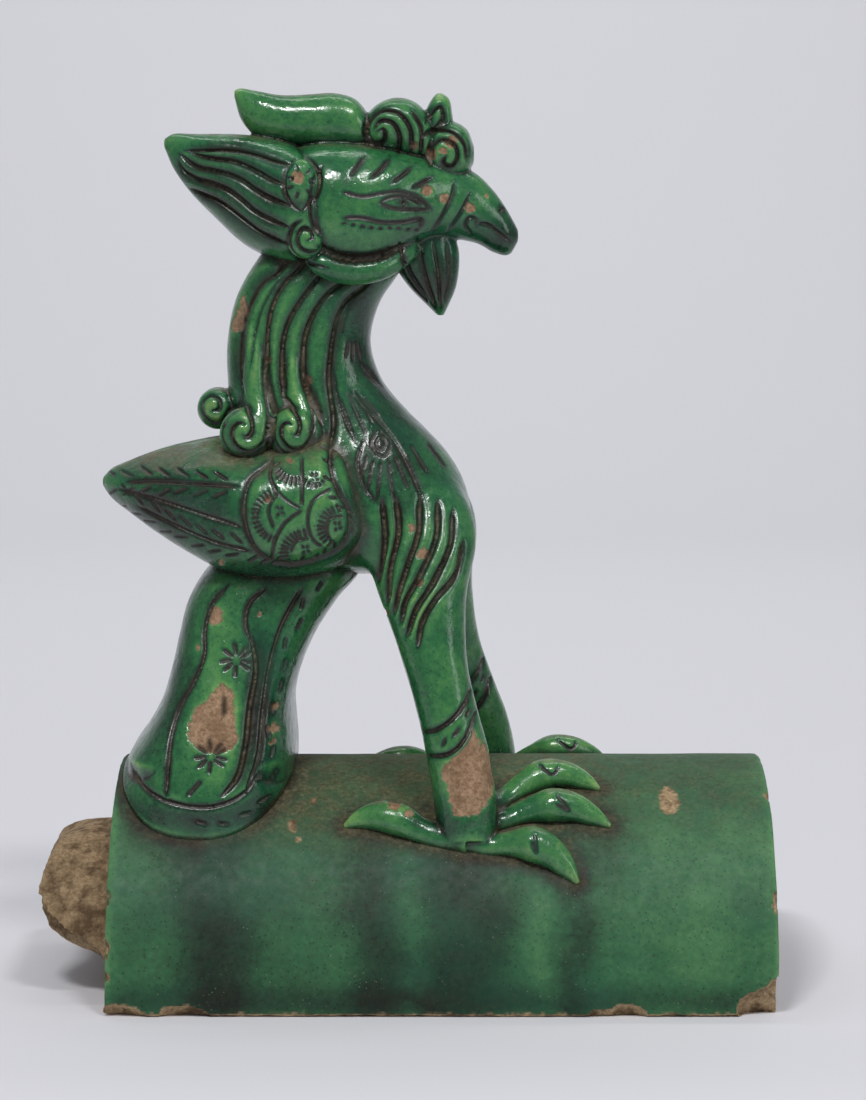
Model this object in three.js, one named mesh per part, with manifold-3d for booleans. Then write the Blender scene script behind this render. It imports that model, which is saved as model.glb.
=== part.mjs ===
// Green glazed phoenix ridge tile, fired as one piece: a half-round ridge tile with a spigot at
// its left end, and a phoenix astride it. The bird faces +X and stands on two clawed feet, one on
// each flank of the tile, and its tail comes down as a broad column at the left end.
// Millimetres, +Z up. The origin is at the middle of the overall length, on the bed that the
// tile's two long edges rest on.
import * as THREE from "three";
import { mergeVertices } from "three/addons/utils/BufferGeometryUtils.js";
import Module from "manifold-3d";

const wasm = await Module();
wasm.setup();

// Driving dimensions of the tile
const tileLength = 233;
const tileRadius = 75; // outside of the half-round back
const tileSkirt = 3; // straight foot below the half round
const tileWall = 13;
const tileEdge = 2; // rounding of the two ends
const spigotReach = 28; // past the tile's left end
const spigotRadius = 52; // outside of the spigot, which slips under the next tile
const spigotWall = 13;
const shoulderLength = 14; // solid ring inside the left end that carries the spigot
const shoulderLap = 1; // how far the shoulder bites into the tile wall

// Driving dimensions of the phoenix. Its stations are written for a bird 242 mm tall, in
// millimetres from the crest of the tile, and follow birdHeight.
const birdHeight = 242;
const birdSetback = 102.5; // from the tile's left end to the bird's own zero line
const footSpread = 46; // from the middle of the tile to the middle of each ankle
const farFootLead = 9; // the far ankle stands this much further forward
const farRearTurn = 0.3; // and its rear toe turns in towards the crest, sideways per backwards
const grooveWidth = 3.4;
const grooveDepth = 1.8;

const bird = birdHeight / 242;
const overall = tileLength + spigotReach;
const tileLeft = spigotReach - overall / 2;
const tileRight = tileLeft + tileLength;
const tileCrest = tileSkirt + tileRadius;
const birdZero = tileLeft + birdSetback;

// How far forward a leg stands of the near one, which fades out up the thigh
function lead(side, z) {
  return side > 0 ? farFootLead * THREE.MathUtils.clamp(1 - z / 90, 0, 1) : 0;
}

// A point of the bird, from its own stations to the part's frame
function onBird(x, y, z) {
  return new THREE.Vector3(birdZero + x * bird, y * bird, tileCrest + z * bird);
}

// Solids

function solidOf(geometry) {
  const bare = geometry.clone();
  bare.deleteAttribute("normal");
  bare.deleteAttribute("uv");
  const merged = mergeVertices(bare, 1e-4);
  return new wasm.Manifold(
    new wasm.Mesh({
      numProp: 3,
      vertProperties: merged.attributes.position.array,
      triVerts: new Uint32Array(merged.index.array),
    }),
  );
}

function geometryOf(solid) {
  const { numProp, vertProperties, triVerts } = solid.getMesh();
  if (numProp !== 3) throw new Error("only positions are expected");
  return new THREE.BufferGeometry()
    .setAttribute("position", new THREE.BufferAttribute(vertProperties, 3))
    .setIndex(new THREE.BufferAttribute(triVerts, 1));
}

// A closed solid stretched over rings of points, each ring with as many points as the next
function skin(rings) {
  const sides = rings[0].length;
  const faces = [];
  for (let r = 0; r + 1 < rings.length; r++) {
    for (let s = 0; s < sides; s++) {
      const a = r * sides + s;
      const b = r * sides + ((s + 1) % sides);
      faces.push(a, b, b + sides, a, b + sides, a + sides);
    }
  }
  const last = (rings.length - 1) * sides;
  for (let s = 1; s + 1 < sides; s++) {
    faces.push(0, s + 1, s);
    faces.push(last, last + s, last + s + 1);
  }
  const geometry = new THREE.BufferGeometry().setFromPoints(rings.flat());
  geometry.setIndex(faces);
  const solid = solidOf(geometry);
  return solid.volume() > 0 ? solid : solidOf(flipped(geometry));
}

function flipped(geometry) {
  const turned = geometry.clone();
  const index = turned.index.array;
  for (let i = 0; i < index.length; i += 3) [index[i + 1], index[i + 2]] = [index[i + 2], index[i + 1]];
  return turned;
}

// One ring of a rounded section: square is 2 for an ellipse and more for a boxier one
function ring(sides, square, at) {
  const round = (v) => Math.sign(v) * Math.abs(v) ** (2 / square);
  return Array.from({ length: sides }, (_, s) => {
    const turn = (2 * Math.PI * s) / sides;
    return at(round(Math.cos(turn)), round(Math.sin(turn)));
  });
}

// Level sections, stacked upwards: [height, back, front, middle, half width, square]
function upright(stations, sides) {
  return skin(
    stations.map(([z, back, front, middle, half, square]) =>
      ring(sides, square, (u, v) =>
        onBird((back + front) / 2 + (u * (front - back)) / 2, middle + v * half, z),
      ),
    ),
  );
}

// Upright sections, one behind another: [x, low, high, half width, square]
function lengthwise(stations, sides) {
  return skin(
    stations.map(([x, low, high, half, square]) =>
      ring(sides, square, (u, v) => onBird(x, v * half, (low + high) / 2 + (u * (high - low)) / 2)),
    ),
  );
}

// Tile

// The half-round section with its straight foot, drawn in the plane across the tile
function archShape(radius, skirt) {
  const shape = new THREE.Shape();
  shape.moveTo(radius, 0);
  shape.lineTo(radius, skirt);
  shape.absarc(0, skirt, radius, 0, Math.PI, false);
  shape.lineTo(-radius, 0);
  shape.closePath();
  return shape;
}

// A section extruded along +X from one place to another
function alongTile(shape, from, to, edge = 0, curveSegments = 20) {
  const geometry = new THREE.ExtrudeGeometry(shape, {
    depth: to - from - 2 * edge,
    curveSegments,
    bevelEnabled: edge > 0,
    bevelThickness: edge,
    bevelSize: edge,
    bevelOffset: -edge,
    bevelSegments: 1,
  });
  geometry.translate(0, 0, from + edge);
  const turn = new THREE.Matrix4().makeBasis(
    new THREE.Vector3(0, 1, 0),
    new THREE.Vector3(0, 0, 1),
    new THREE.Vector3(1, 0, 0),
  );
  return solidOf(geometry.applyMatrix4(turn));
}

const below = tileRadius; // how far cutters reach past what they cut

// The clear space under the tile, cut from everything at the end
function boreOf(radius, from, to) {
  const shape = archShape(radius, tileSkirt + below);
  const bore = alongTile(shape, from, to, 0, 16);
  return bore.translate([0, 0, -below]);
}

// The spigot's outline from the side: a rounded tongue whose lower edge rises off the bed
function spigotSolid() {
  const section = archShape(spigotRadius, tileSkirt);
  const arch = alongTile(section, tileLeft - spigotReach, tileLeft + shoulderLength);
  const top = tileSkirt + spigotRadius + 1;
  const outline = new THREE.Shape();
  outline.moveTo(tileLeft + shoulderLength, 0.22 * top);
  outline.lineTo(tileLeft, 0.22 * top);
  outline.bezierCurveTo(
    tileLeft - 0.6 * spigotReach, 0.28 * top,
    tileLeft - spigotReach, 0.45 * top,
    tileLeft - spigotReach, 0.64 * top,
  );
  outline.bezierCurveTo(
    tileLeft - spigotReach, 0.8 * top,
    tileLeft - 0.75 * spigotReach, 0.96 * top,
    tileLeft - 0.1 * spigotReach, top,
  );
  outline.lineTo(tileLeft + shoulderLength, top);
  outline.closePath();
  const wide = 2 * tileRadius;
  const sides = { depth: wide, bevelEnabled: false, curveSegments: 5 };
  const geometry = new THREE.ExtrudeGeometry(outline, sides);
  geometry.translate(0, 0, -wide / 2).rotateX(Math.PI / 2);
  return arch.intersect(solidOf(geometry));
}

// The ring inside the left end between the tile's wall and the spigot
function shoulderSolid() {
  const inner = tileRadius - tileWall + shoulderLap;
  return alongTile(archShape(inner, tileSkirt), tileLeft + tileEdge, tileLeft + shoulderLength, 0, 16);
}

// A broken corner or edge: a rough lump taken away, squashed along the edge it sits on
function chip(x, y, z, reach, length) {
  const lump = new THREE.IcosahedronGeometry(1, 0);
  lump.rotateX(0.4).rotateZ(0.7).scale(length, reach, reach).translate(x, y, z);
  return solidOf(lump);
}

// Phoenix

const trunk = () =>
  upright(
    [
      [68, -20, -2, 0, 8, 2],
      [71, -34, 12, 0, 22, 2.1],
      [76, -46, 21, 0, 30, 2.2],
      [83, -51, 25.5, 0, 34, 2.3],
      [91, -54, 25, 0, 35, 2.3],
      [101, -57, 22.5, 0, 33.5, 2.3],
      [111, -59, 17, 0, 31, 2.3],
      [119, -61, 9.5, 0, 28, 2.3],
      [128, -62, 0.5, 0, 25, 2.4],
      [138, -63, -7.5, 0, 23, 2.5],
      [152, -63, -11.5, 0, 21.5, 2.5],
      [165, -60.5, -8.5, 0, 21.5, 2.4],
      [176, -55.5, -1.5, 0, 21.5, 2.3],
      [186, -48, 4, 0, 19, 2.2],
      [192, -38, 0, 0, 10, 2],
    ],
    16,
  );

const tail = () =>
  upright(
    [
      [78, -64, -12, 0, 24, 2.6],
      [69, -71.5, -15.5, 0, 28, 2.8],
      [60, -77, -23, 0, 30.5, 3],
      [47, -80.5, -31.5, 0, 34, 3.2],
      [34, -83.5, -37, 0, 38, 3.3],
      [23, -87, -39.5, 0, 42, 3.3],
      [13, -92.5, -39, 0, 46, 3.3],
      [4, -98.5, -38.5, 0, 49, 3.2],
      [-3, -101.5, -39, 0, 51, 3.1],
      [-11, -102, -41, 0, 52, 3],
      [-20, -102, -46, 0, 52, 3],
      [-28, -102, -50, 0, 50, 3],
    ],
    16,
  );

// Both folded wings, which close over the back and meet in one point behind
const wings = () =>
  lengthwise(
    [
      [-108.5, 99.5, 102.5, 2.5, 2],
      [-106, 95.5, 105.5, 7.5, 2.2],
      [-98, 88, 109.5, 17, 2.7],
      [-88, 81, 112.5, 25.5, 3],
      [-75, 74, 115.5, 33, 3.2],
      [-65, 70.5, 116, 37, 3.2],
      [-52, 67.5, 115, 41, 3.2],
      [-38, 67, 115, 43.5, 3.1],
      [-24, 69.5, 114, 43.5, 3],
      [-15, 75, 110, 42, 2.8],
      [-10, 82.5, 101, 39.5, 2.6],
      [-8, 87, 95, 37, 2.4],
    ],
    16,
  );

function leg(side) {
  const stations = [
    [110, -4, 13, 0.32, 8, 2],
    [100, -11, 23, 0.42, 13.5, 2.2],
    [88, -14, 27.5, 0.54, 15, 2.2],
    [77, -13, 27, 0.61, 14.5, 2.2],
    [66.5, -9, 22.8, 0.67, 13.5, 2.2],
    [54, -4, 21.8, 0.74, 12, 2.2],
    [38, 0.5, 22.6, 0.83, 11, 2.2],
    [20.5, 5, 26.3, 0.91, 10.8, 2.2],
    [8, 8.5, 30.4, 0.96, 10.8, 2.2],
    [-5, 11.5, 32.8, 0.99, 11, 2.2],
    [-20, 13.5, 34, 1, 11.5, 2.2],
  ];
  return upright(
    stations.map(([z, back, front, spread, half, square]) => {
      const forward = lead(side, z);
      return [z, back + forward, front + forward, (side * spread * footSpread) / bird, half, square];
    }),
    10,
  );
}

// One toe, lying on the tile's flank: [forward, outwards, lift, half width, half height],
// measured from the ankle along and around the tile
function toe(side, stations) {
  const ankle = Math.asin(footSpread / tileRadius);
  const ankleX = 24;
  const spots = stations.map(([forward, outwards, lift, wide, tall]) => {
    const turn = side > 0 && forward < 0 ? farRearTurn * forward : 0;
    const angle = ankle + ((outwards + turn) * bird) / tileRadius;
    const out = new THREE.Vector3(0, side * Math.sin(angle), Math.cos(angle));
    const at = out.clone().multiplyScalar(tileRadius + lift * bird);
    at.z += tileSkirt;
    at.x = birdZero + (ankleX + 0.6 * lead(side, 0) + forward) * bird;
    return { at, out, wide: wide * bird, tall: tall * bird };
  });
  return skin(
    spots.map(({ at, out, wide, tall }, i) => {
      const next = spots[Math.min(i + 1, spots.length - 1)].at;
      const along = next.clone().sub(spots[Math.max(i - 1, 0)].at).normalize();
      const across = new THREE.Vector3().crossVectors(out, along).normalize();
      const place = (u, v) => at.clone().addScaledVector(across, u * wide).addScaledVector(out, v * tall);
      return ring(6, 2, place);
    }),
  );
}

const toes = {
  outer: [
    [-4, 4, 1, 6, 5.4],
    [8, 10, 1.5, 6, 5],
    [18, 9, 3.5, 7.4, 6.8],
    [27, 13, 3.5, 7, 6.2],
    [33.5, 18.5, 1.5, 4.8, 4.4],
    [37, 23.5, 0, 1.2, 1.3],
  ],
  middle: [
    [0, 0, 1, 6, 5.4],
    [14, -2.5, 1.5, 5.6, 5],
    [24, -5.5, 4, 7.4, 7],
    [33.5, -6, 4, 7, 6.4],
    [42.5, -3, 2, 4.8, 4.6],
    [49, 1, 0, 1.2, 1.3],
  ],
  inner: [
    [2, -4, 1, 6, 5],
    [13, -14, 1.5, 5.6, 5],
    [22, -21.5, 3.5, 7, 6.6],
    [31, -24, 3.5, 6.8, 6],
    [39, -22, 1.5, 4.6, 4.4],
    [46, -18.5, 0, 1.2, 1.3],
  ],
  rear: [
    [-2, 5, 1, 6, 5.4],
    [-14, 5, 2, 6, 5.8],
    [-21, 2, 4, 7, 6.8],
    [-29, -2, 4, 6.6, 6],
    [-37, -2, 2, 4.6, 4.2],
    [-44, 1, 0, 1.2, 1.3],
  ],
};

const skull = () =>
  lengthwise(
    [
      [-46, 186, 216, 17, 2.2],
      [-38, 178.5, 221, 24, 2.3],
      [-28, 175, 223, 27, 2.4],
      [-15, 173.5, 222.4, 27.5, 2.4],
      [-5, 177, 221, 25, 2.4],
      [3, 184, 219, 21.5, 2.4],
      [10, 188, 217.5, 17, 2.3],
      [18, 188.3, 215.5, 13, 2.2],
      [26, 187, 212, 10.5, 2.1],
      [33, 183.5, 205.3, 8.3, 2],
      [38.5, 182.8, 197.2, 6.2, 2],
      [41.5, 187.5, 191.5, 2.5, 2],
    ],
    14,
  );

// The feathers swept back from the cheeks, which meet behind the head in one point
const plumes = () =>
  lengthwise(
    [
      [-85.2, 221, 224, 1.8, 2],
      [-82, 213.5, 225.8, 5, 2.3],
      [-75, 204, 225.8, 9, 2.6],
      [-66, 195, 225.8, 14.5, 2.8],
      [-56, 186, 225.5, 19.5, 2.8],
      [-46, 181, 224, 24.5, 2.8],
      [-36, 178, 221, 28.5, 2.7],
      [-28, 178, 217, 29, 2.5],
      [-22, 181, 212, 26, 2.2],
    ],
    14,
  );

const combLobes = () => [
  lengthwise(
    [
      [-60, 238.5, 241.3, 1.6, 2],
      [-57.5, 230.5, 242, 4.5, 2.1],
      [-52, 224.5, 241, 7.5, 2.2],
      [-44, 222, 239.6, 9.8, 2.2],
      [-33, 220.5, 239.8, 11, 2.2],
      [-24, 220, 240.2, 11.2, 2.2],
      [-17, 220, 238.3, 10.8, 2.2],
      [-11.5, 220, 232, 8, 2.2],
    ],
    10,
  ),
  lengthwise(
    [
      [-13.6, 223, 229, 6, 2],
      [-11.5, 220, 234, 11, 2.3],
      [-7, 219, 237.4, 13.5, 2.4],
      [-1, 218, 238.6, 14, 2.4],
      [4, 217, 237.4, 13.5, 2.4],
      [8.5, 216, 233.5, 11.5, 2.3],
      [11.5, 214, 227, 7, 2],
    ],
    10,
  ),
  lengthwise(
    [
      [8, 212, 222, 8, 2],
      [12.5, 209.5, 228.5, 12, 2.3],
      [18, 209, 230.2, 12.5, 2.4],
      [22.5, 211, 228, 11, 2.3],
      [25.6, 215.5, 221.5, 5, 2],
    ],
    10,
  ),
  lengthwise(
    [
      [7.4, 224, 230, 3, 2],
      [9.5, 224, 236.5, 6, 2.1],
      [13.2, 224, 240.4, 7.5, 2.1],
      [16, 224, 239, 6.5, 2.1],
      [18, 225, 232, 3.5, 2],
    ],
    10,
  ),
];

const wattle = () =>
  upright(
    [
      [192, -4, 18, 0, 8, 2.2],
      [184, -4.5, 20.3, 0, 9.5, 2.2],
      [177.5, -2, 20.3, 0, 9.5, 2.2],
      [171, 2.5, 19.2, 0, 8.5, 2.2],
      [165, 8.5, 16.7, 0, 6, 2.2],
      [161, 12.6, 14.8, 0, 1.8, 2],
    ],
    10,
  );

// A round boss with its face to the side, such as a curl of the mane or the ear
function boss(x, z, middle, half, radius, tall = radius) {
  const profile = [[0, -half], [0.75, -0.9 * half], [1, 0], [0.75, 0.9 * half], [0, half]];
  const disc = new THREE.LatheGeometry(profile.map(([r, y]) => new THREE.Vector2(r, y)), 9);
  disc.scale(radius * bird, bird, tall * bird);
  const at = onBird(x, middle, z);
  disc.translate(at.x, at.y, at.z);
  const solid = solidOf(disc);
  return solid.volume() > 0 ? solid : solidOf(flipped(disc));
}

const curlRadius = 8;
const curls = [
  { x: -56, z: 122, middle: 16, half: 7 },
  { x: -39, z: 121.5, middle: 22, half: 7 },
];
const backCurl = { x: -66.5, z: 128, radius: 7.6, half: 9 };
const ear = { x: -34.6, z: 208, middle: 25.5, half: 4.5, radius: 4.8, tall: 6.6 };
const jawCurl = { x: -32.5, z: 188.5, middle: 25, half: 4.5, radius: 5.6 };

// Carving

// The outline of a groove from the side, [x, z] from the bird's own zero
const carving = {
  mane: [
    [[-42, 176], [-53, 165.5], [-57.5, 148], [-56, 134]],
    [[-31.5, 175], [-41.5, 164], [-47, 148], [-46.5, 131]],
    [[-27, 173.5], [-38, 158.5], [-42.5, 144], [-41.5, 132]],
    [[-20.5, 173], [-31, 158], [-34.3, 142], [-31, 124]],
    [[-12.5, 167.5], [-20.5, 152], [-24.5, 133], [-26.5, 115]],
  ],
  plumes: [
    [[-79, 221], [-62.5, 220.3], [-51, 218.3], [-40, 214]],
    [[-76, 219], [-67, 215], [-55, 213.3], [-41.5, 208]],
    [[-79, 216.5], [-71, 212], [-56, 207.2], [-40, 199]],
    [[-78, 212.5], [-70, 207], [-56, 199], [-40, 190.5]],
    [[-69, 201.5], [-60, 195.8], [-49.5, 187], [-40, 182.5]],
  ],
  thigh: [
    [[-2, 97], [-1.2, 87], [-4.2, 74], [-5, 64]],
    [[6.5, 97], [6.3, 87], [2.5, 76], [-1, 64]],
    [[12.5, 96], [12.5, 86], [7.5, 73], [2.5, 62]],
    [[18, 92], [17.3, 82.5], [11.5, 70.5], [6, 60]],
    [[21.5, 81.5], [19.5, 72], [11.5, 63], [7.5, 55], [6, 46]],
  ],
  wing: [
    [[-100, 99.5], [-82, 95], [-71, 92.5], [-58, 90]],
    [[-97, 103.5], [-84, 103.6], [-73, 102.7], [-58, 102]],
    [[-89, 89.5], [-73, 83.5], [-56, 79.5]],
    [[-46.5, 109], [-54, 101], [-55, 88.5], [-47, 76.5], [-34, 75.8], [-22, 82], [-19.5, 92], [-25, 101]],
  ],
  tail: [
    [[-62, 66], [-69, 56], [-71, 39], [-80, 18], [-82, 2]],
    [[-36.5, 63], [-42.5, 52], [-47, 37], [-50.5, 8], [-55, -2], [-65, -8.5], [-80, -7]],
  ],
  wattle: [
    [[3, 184], [7, 174], [12, 165]],
    [[10, 185], [12.5, 175], [13.7, 166]],
  ],
  face: [
    [[-20, 205], [-14, 203.8], [-1, 205], [5, 203.5], [10.5, 199.5]],
    [[26, 194], [30.5, 193.5], [34, 191], [38, 188.5]],
  ],
};

// A spiral seen from the side, ending at its own centre
function spiral(x, z, radius, from, turns, steps = 7) {
  return Array.from({ length: steps + 1 }, (_, i) => {
    const share = i / steps;
    const angle = from - 2 * Math.PI * turns * share;
    const r = radius * (1 - 0.85 * share);
    return [x + r * Math.cos(angle), z + r * Math.sin(angle)];
  });
}

const steepest = 0.3; // a groove stops where the surface faces the side less than this

// Where a line from the side first meets the body, and which way the surface faces there
function layOn(body, side, x, z) {
  const far = 3 * tileRadius;
  const from = onBird(x, (side * far) / bird, z);
  const ray = new THREE.Raycaster(from, new THREE.Vector3(0, -side, 0));
  const [hit] = ray.intersectObject(body);
  if (!hit || hit.face.normal.y * side < steepest) return null;
  const out = hit.face.normal.clone().add(new THREE.Vector3(0, side, 0)).normalize();
  return { at: hit.point, out };
}

// A vee-shaped cutter that follows a groove over the body's surface and dies away at both ends
function grooveCutter(body, side, points) {
  const laid = points.map(([x, z]) => layOn(body, side, x, z)).filter(Boolean);
  return skin(
    laid.map(({ at, out }, i) => {
      const next = laid[Math.min(i + 1, laid.length - 1)].at;
      const along = next.clone().sub(laid[Math.max(i - 1, 0)].at).normalize();
      const across = new THREE.Vector3().crossVectors(out, along).normalize();
      const end = i === 0 || i === laid.length - 1;
      const depth = grooveDepth * (end ? 0.15 : 1);
      const half = (grooveWidth / 2) * (end ? 0.3 : 1);
      const clear = grooveDepth;
      const spread = (half * (depth + clear)) / depth; // as wide as asked where it meets the surface
      return [
        at.clone().addScaledVector(out, -depth),
        at.clone().addScaledVector(out, clear).addScaledVector(across, -spread),
        at.clone().addScaledVector(out, clear).addScaledVector(across, spread),
      ];
    }),
  );
}

// The whole piece

const both = (make) => [make(-1), make(1)].flat();

const tileBack = alongTile(archShape(tileRadius, tileSkirt), tileLeft, tileRight, tileEdge, 18);
const figure = [
  trunk(),
  tail(),
  wings(),
  skull(),
  plumes(),
  ...combLobes(),
  wattle(),
  ...both((side) => leg(side)),
  ...both((side) => Object.values(toes).map((stations) => toe(side, stations))),
  ...both((side) => curls.map((c) => boss(c.x, c.z, side * c.middle, c.half, curlRadius))),
  boss(backCurl.x, backCurl.z, 0, backCurl.half, backCurl.radius),
  ...both((side) => boss(ear.x, ear.z, side * ear.middle, ear.half, ear.radius, ear.tall)),
  ...both((side) => boss(jawCurl.x, jawCurl.z, side * jawCurl.middle, jawCurl.half, jawCurl.radius)),
];

const joined = [shoulderSolid(), spigotSolid(), ...figure].reduce((whole, part) => whole.add(part), tileBack);
const hollowed = joined
  .subtract(boreOf(tileRadius - tileWall, tileLeft + shoulderLength, tileRight + below))
  .subtract(boreOf(spigotRadius - spigotWall, tileLeft - below, tileRight));

const uncarved = new THREE.Mesh(geometryOf(hollowed));
const cutters = both((side) => [
  ...Object.values(carving).flatMap((set) => set.map((points) => grooveCutter(uncarved, side, points))),
  ...curls.map((c) => grooveCutter(uncarved, side, spiral(c.x, c.z, 0.62 * curlRadius, 0, 1.1))),
]);

const chips = [
  chip(tileRight, -tileRadius, 3, 9, 13),
  chip(tileRight - 56, -tileRadius - 1, 0, 5.5, 9),
  chip(tileLeft + 6, -tileRadius - 1, -1, 5, 10),
  chip(tileLeft + 25, -tileRadius - 1.5, -1, 5, 12),
];
const piece = [...cutters, ...chips].reduce((whole, cut) => whole.subtract(cut), hollowed);

const glazedTile = new THREE.Mesh(
  geometryOf(piece),
  new THREE.MeshStandardMaterial({ color: 0x1f6b3c, roughness: 0.25, metalness: 0 }),
);
glazedTile.name = "phoenix_ridge_tile";

const ridgeOrnament = new THREE.Group();
ridgeOrnament.add(glazedTile);

export default ridgeOrnament;
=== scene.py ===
import math
import bpy
import numpy as np
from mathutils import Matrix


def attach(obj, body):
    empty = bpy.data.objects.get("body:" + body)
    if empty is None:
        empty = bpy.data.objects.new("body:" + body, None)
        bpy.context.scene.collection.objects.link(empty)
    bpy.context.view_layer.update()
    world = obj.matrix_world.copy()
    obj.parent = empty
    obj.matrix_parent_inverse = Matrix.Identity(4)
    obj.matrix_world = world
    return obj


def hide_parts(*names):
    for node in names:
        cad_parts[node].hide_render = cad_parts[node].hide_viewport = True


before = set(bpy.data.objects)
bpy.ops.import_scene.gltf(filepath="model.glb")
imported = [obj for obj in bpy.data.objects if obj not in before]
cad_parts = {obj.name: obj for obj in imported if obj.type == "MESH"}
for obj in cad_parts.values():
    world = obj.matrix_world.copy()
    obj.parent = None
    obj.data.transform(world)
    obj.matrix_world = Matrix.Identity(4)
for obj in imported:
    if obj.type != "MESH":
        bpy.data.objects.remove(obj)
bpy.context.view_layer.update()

print("frame loaded")

# Shapes are written in millimetres, as in the part's own source, and brought to metres at the end.
# Bird heights are measured from the crest of the tile, which is 78 mm above the bed.
crest = 78.0
metre = 0.001
node = "phoenix_ridge_tile"
coarse = 1.0
farOutside = -50.0  # how far inside a patch a place counts that is on the other side of the bird

# The tile's sizes stand here, because the feet and the tail follow its round back
tile = {
    "length": 233.0, "left": -102.5, "radius": 75.0, "skirt": 3.0, "wall": 13.0, "spigotReach": 28.0,
    "spigotRadius": 52.0, "shoulder": 14.0, "shoulderWall": 24.0, "bareWithin": 70.5, "voxel": 0.95, "soften": 4,
    "tongueRounds": 40, "triangles": 150000, "soil": (0.6, 0.94, 1.0)}


# Meshes

def newObject(name, points, faces=(), edges=()):
    mesh = bpy.data.meshes.new(name)
    mesh.from_pydata(np.asarray(points).tolist(), list(edges), list(faces))
    mesh.update()
    obj = bpy.data.objects.new(name, mesh)
    bpy.context.scene.collection.objects.link(obj)
    return obj


def settle(obj):  # takes the modifiers into the mesh
    bpy.context.view_layer.update()
    result = bpy.data.meshes.new_from_object(obj.evaluated_get(bpy.context.evaluated_depsgraph_get()))
    obj.modifiers.clear()
    old = obj.data
    obj.data = result
    bpy.data.meshes.remove(old)


def pointsOf(obj):
    flat = np.empty(len(obj.data.vertices) * 3, dtype=np.float32)
    obj.data.vertices.foreach_get("co", flat)
    return flat.reshape(-1, 3).astype(float)


def normalsOf(obj):
    flat = np.empty(len(obj.data.vertices) * 3, dtype=np.float32)
    obj.data.vertex_normals.foreach_get("vector", flat)
    return flat.reshape(-1, 3).astype(float)


def edgesOf(obj):
    flat = np.empty(len(obj.data.edges) * 2, dtype=np.int32)
    obj.data.edges.foreach_get("vertices", flat)
    return flat.reshape(-1, 2)


def movePoints(obj, points):
    obj.data.vertices.foreach_set("co", points.astype(np.float32).ravel())
    obj.data.update()


def keep(obj, name, values):  # one number or one vector for each point
    kind = "FLOAT" if values.ndim == 1 else "FLOAT_VECTOR"
    layer = obj.data.attributes.get(name) or obj.data.attributes.new(name, kind, "POINT")
    layer.data.foreach_set("value" if kind == "FLOAT" else "vector", values.astype(np.float32).ravel())


def recall(obj, name):
    flat = np.empty(len(obj.data.vertices), dtype=np.float32)
    obj.data.attributes[name].data.foreach_get("value", flat)
    return flat.astype(float)


def blurred(values, edges, rounds, share=1.0):
    count = len(values)
    valence = np.bincount(edges.ravel(), minlength=count).clip(1)[:, None]
    for _ in range(rounds):
        mean = np.stack([np.bincount(edges[:, 0], column[edges[:, 1]], count)
                         + np.bincount(edges[:, 1], column[edges[:, 0]], count) for column in values.T], axis=1)
        values = values + share * (mean / valence - values)
    return values


def ramp(low, high, values):
    t = np.clip((values - low) / (high - low), 0, 1)
    return t * t * (3 - 2 * t)


# Rows of numbers become a smooth run of rows, which passes through each of them
def runThrough(rows, spacing, place=2):
    rows = np.array(rows, float)
    gaps = np.maximum(np.linalg.norm(np.diff(rows[:, :place], axis=0), axis=1), 1e-6)
    at = np.concatenate([[0], np.cumsum(gaps)])
    slopes = np.diff(rows, axis=0) / gaps[:, None]
    lean = np.empty_like(rows)
    lean[0], lean[-1] = slopes[0], slopes[-1]
    if len(rows) > 2:
        before, after = gaps[:-1, None], gaps[1:, None]
        lean[1:-1] = (after * slopes[:-1] + before * slopes[1:]) / (before + after)
    spots = np.linspace(0, at[-1], max(3, int(round(at[-1] / spacing)) + 1))
    k = np.clip(np.searchsorted(at, spots, side="right") - 1, 0, len(gaps) - 1)
    gap = gaps[k][:, None]
    t = ((spots - at[k]) / gaps[k])[:, None]
    return ((2 * t**3 - 3 * t**2 + 1) * rows[k] + (t**3 - 2 * t**2 + t) * gap * lean[k]
            + (-2 * t**3 + 3 * t**2) * rows[k + 1] + (t**3 - t**2) * gap * lean[k + 1])


def skinOver(rings):  # rings of points, closed at both ends
    many, sides = rings.shape[:2]
    points = np.concatenate([rings.reshape(-1, 3), rings[0].mean(0)[None], rings[-1].mean(0)[None]])
    r, s = np.meshgrid(np.arange(many - 1), np.arange(sides), indexing="ij")
    a, b = r * sides + s, r * sides + (s + 1) % sides
    quads = np.stack([a, b, b + sides, a + sides], axis=-1).reshape(-1, 4).tolist()
    around = np.arange(sides)
    first, last = many * sides, many * sides + 1
    caps = [[first, (i + 1) % sides, i] for i in around.tolist()]
    caps += [[last, (many - 1) * sides + i, (many - 1) * sides + (i + 1) % sides] for i in around.tolist()]
    return points, quads + caps


# The outline of a section: round where square is 2, and squarer with more
def roundings(square, sides):
    turn = np.linspace(0, 2 * np.pi, sides, endpoint=False)[None, :]
    power = (2 / square)[:, None]
    return [np.sign(wave) * np.abs(wave) ** power for wave in (np.cos(turn), np.sin(turn))]


# Level sections, stacked upwards: [height, back, front, middle, half width, square]
def upright(stations, sides=96, spacing=1.3):
    z, back, front, middle, half, square = runThrough(stations, spacing, place=3).T[:, :, None]
    u, v = roundings(square[:, 0], sides)
    rings = np.stack([(back + front) / 2 + u * (front - back) / 2, middle + v * half, crest + z + 0 * u], axis=-1)
    return skinOver(rings)


# Upright sections, one behind another: [x, low, high, half width, square]
def lengthwise(stations, sides=96, spacing=1.3):
    x, low, high, half, square = runThrough(stations, spacing, place=3).T[:, :, None]
    u, v = roundings(square[:, 0], sides)
    rings = np.stack([x + 0 * u, v * half, crest + (low + high) / 2 + u * (high - low) / 2], axis=-1)
    return skinOver(rings)


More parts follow.
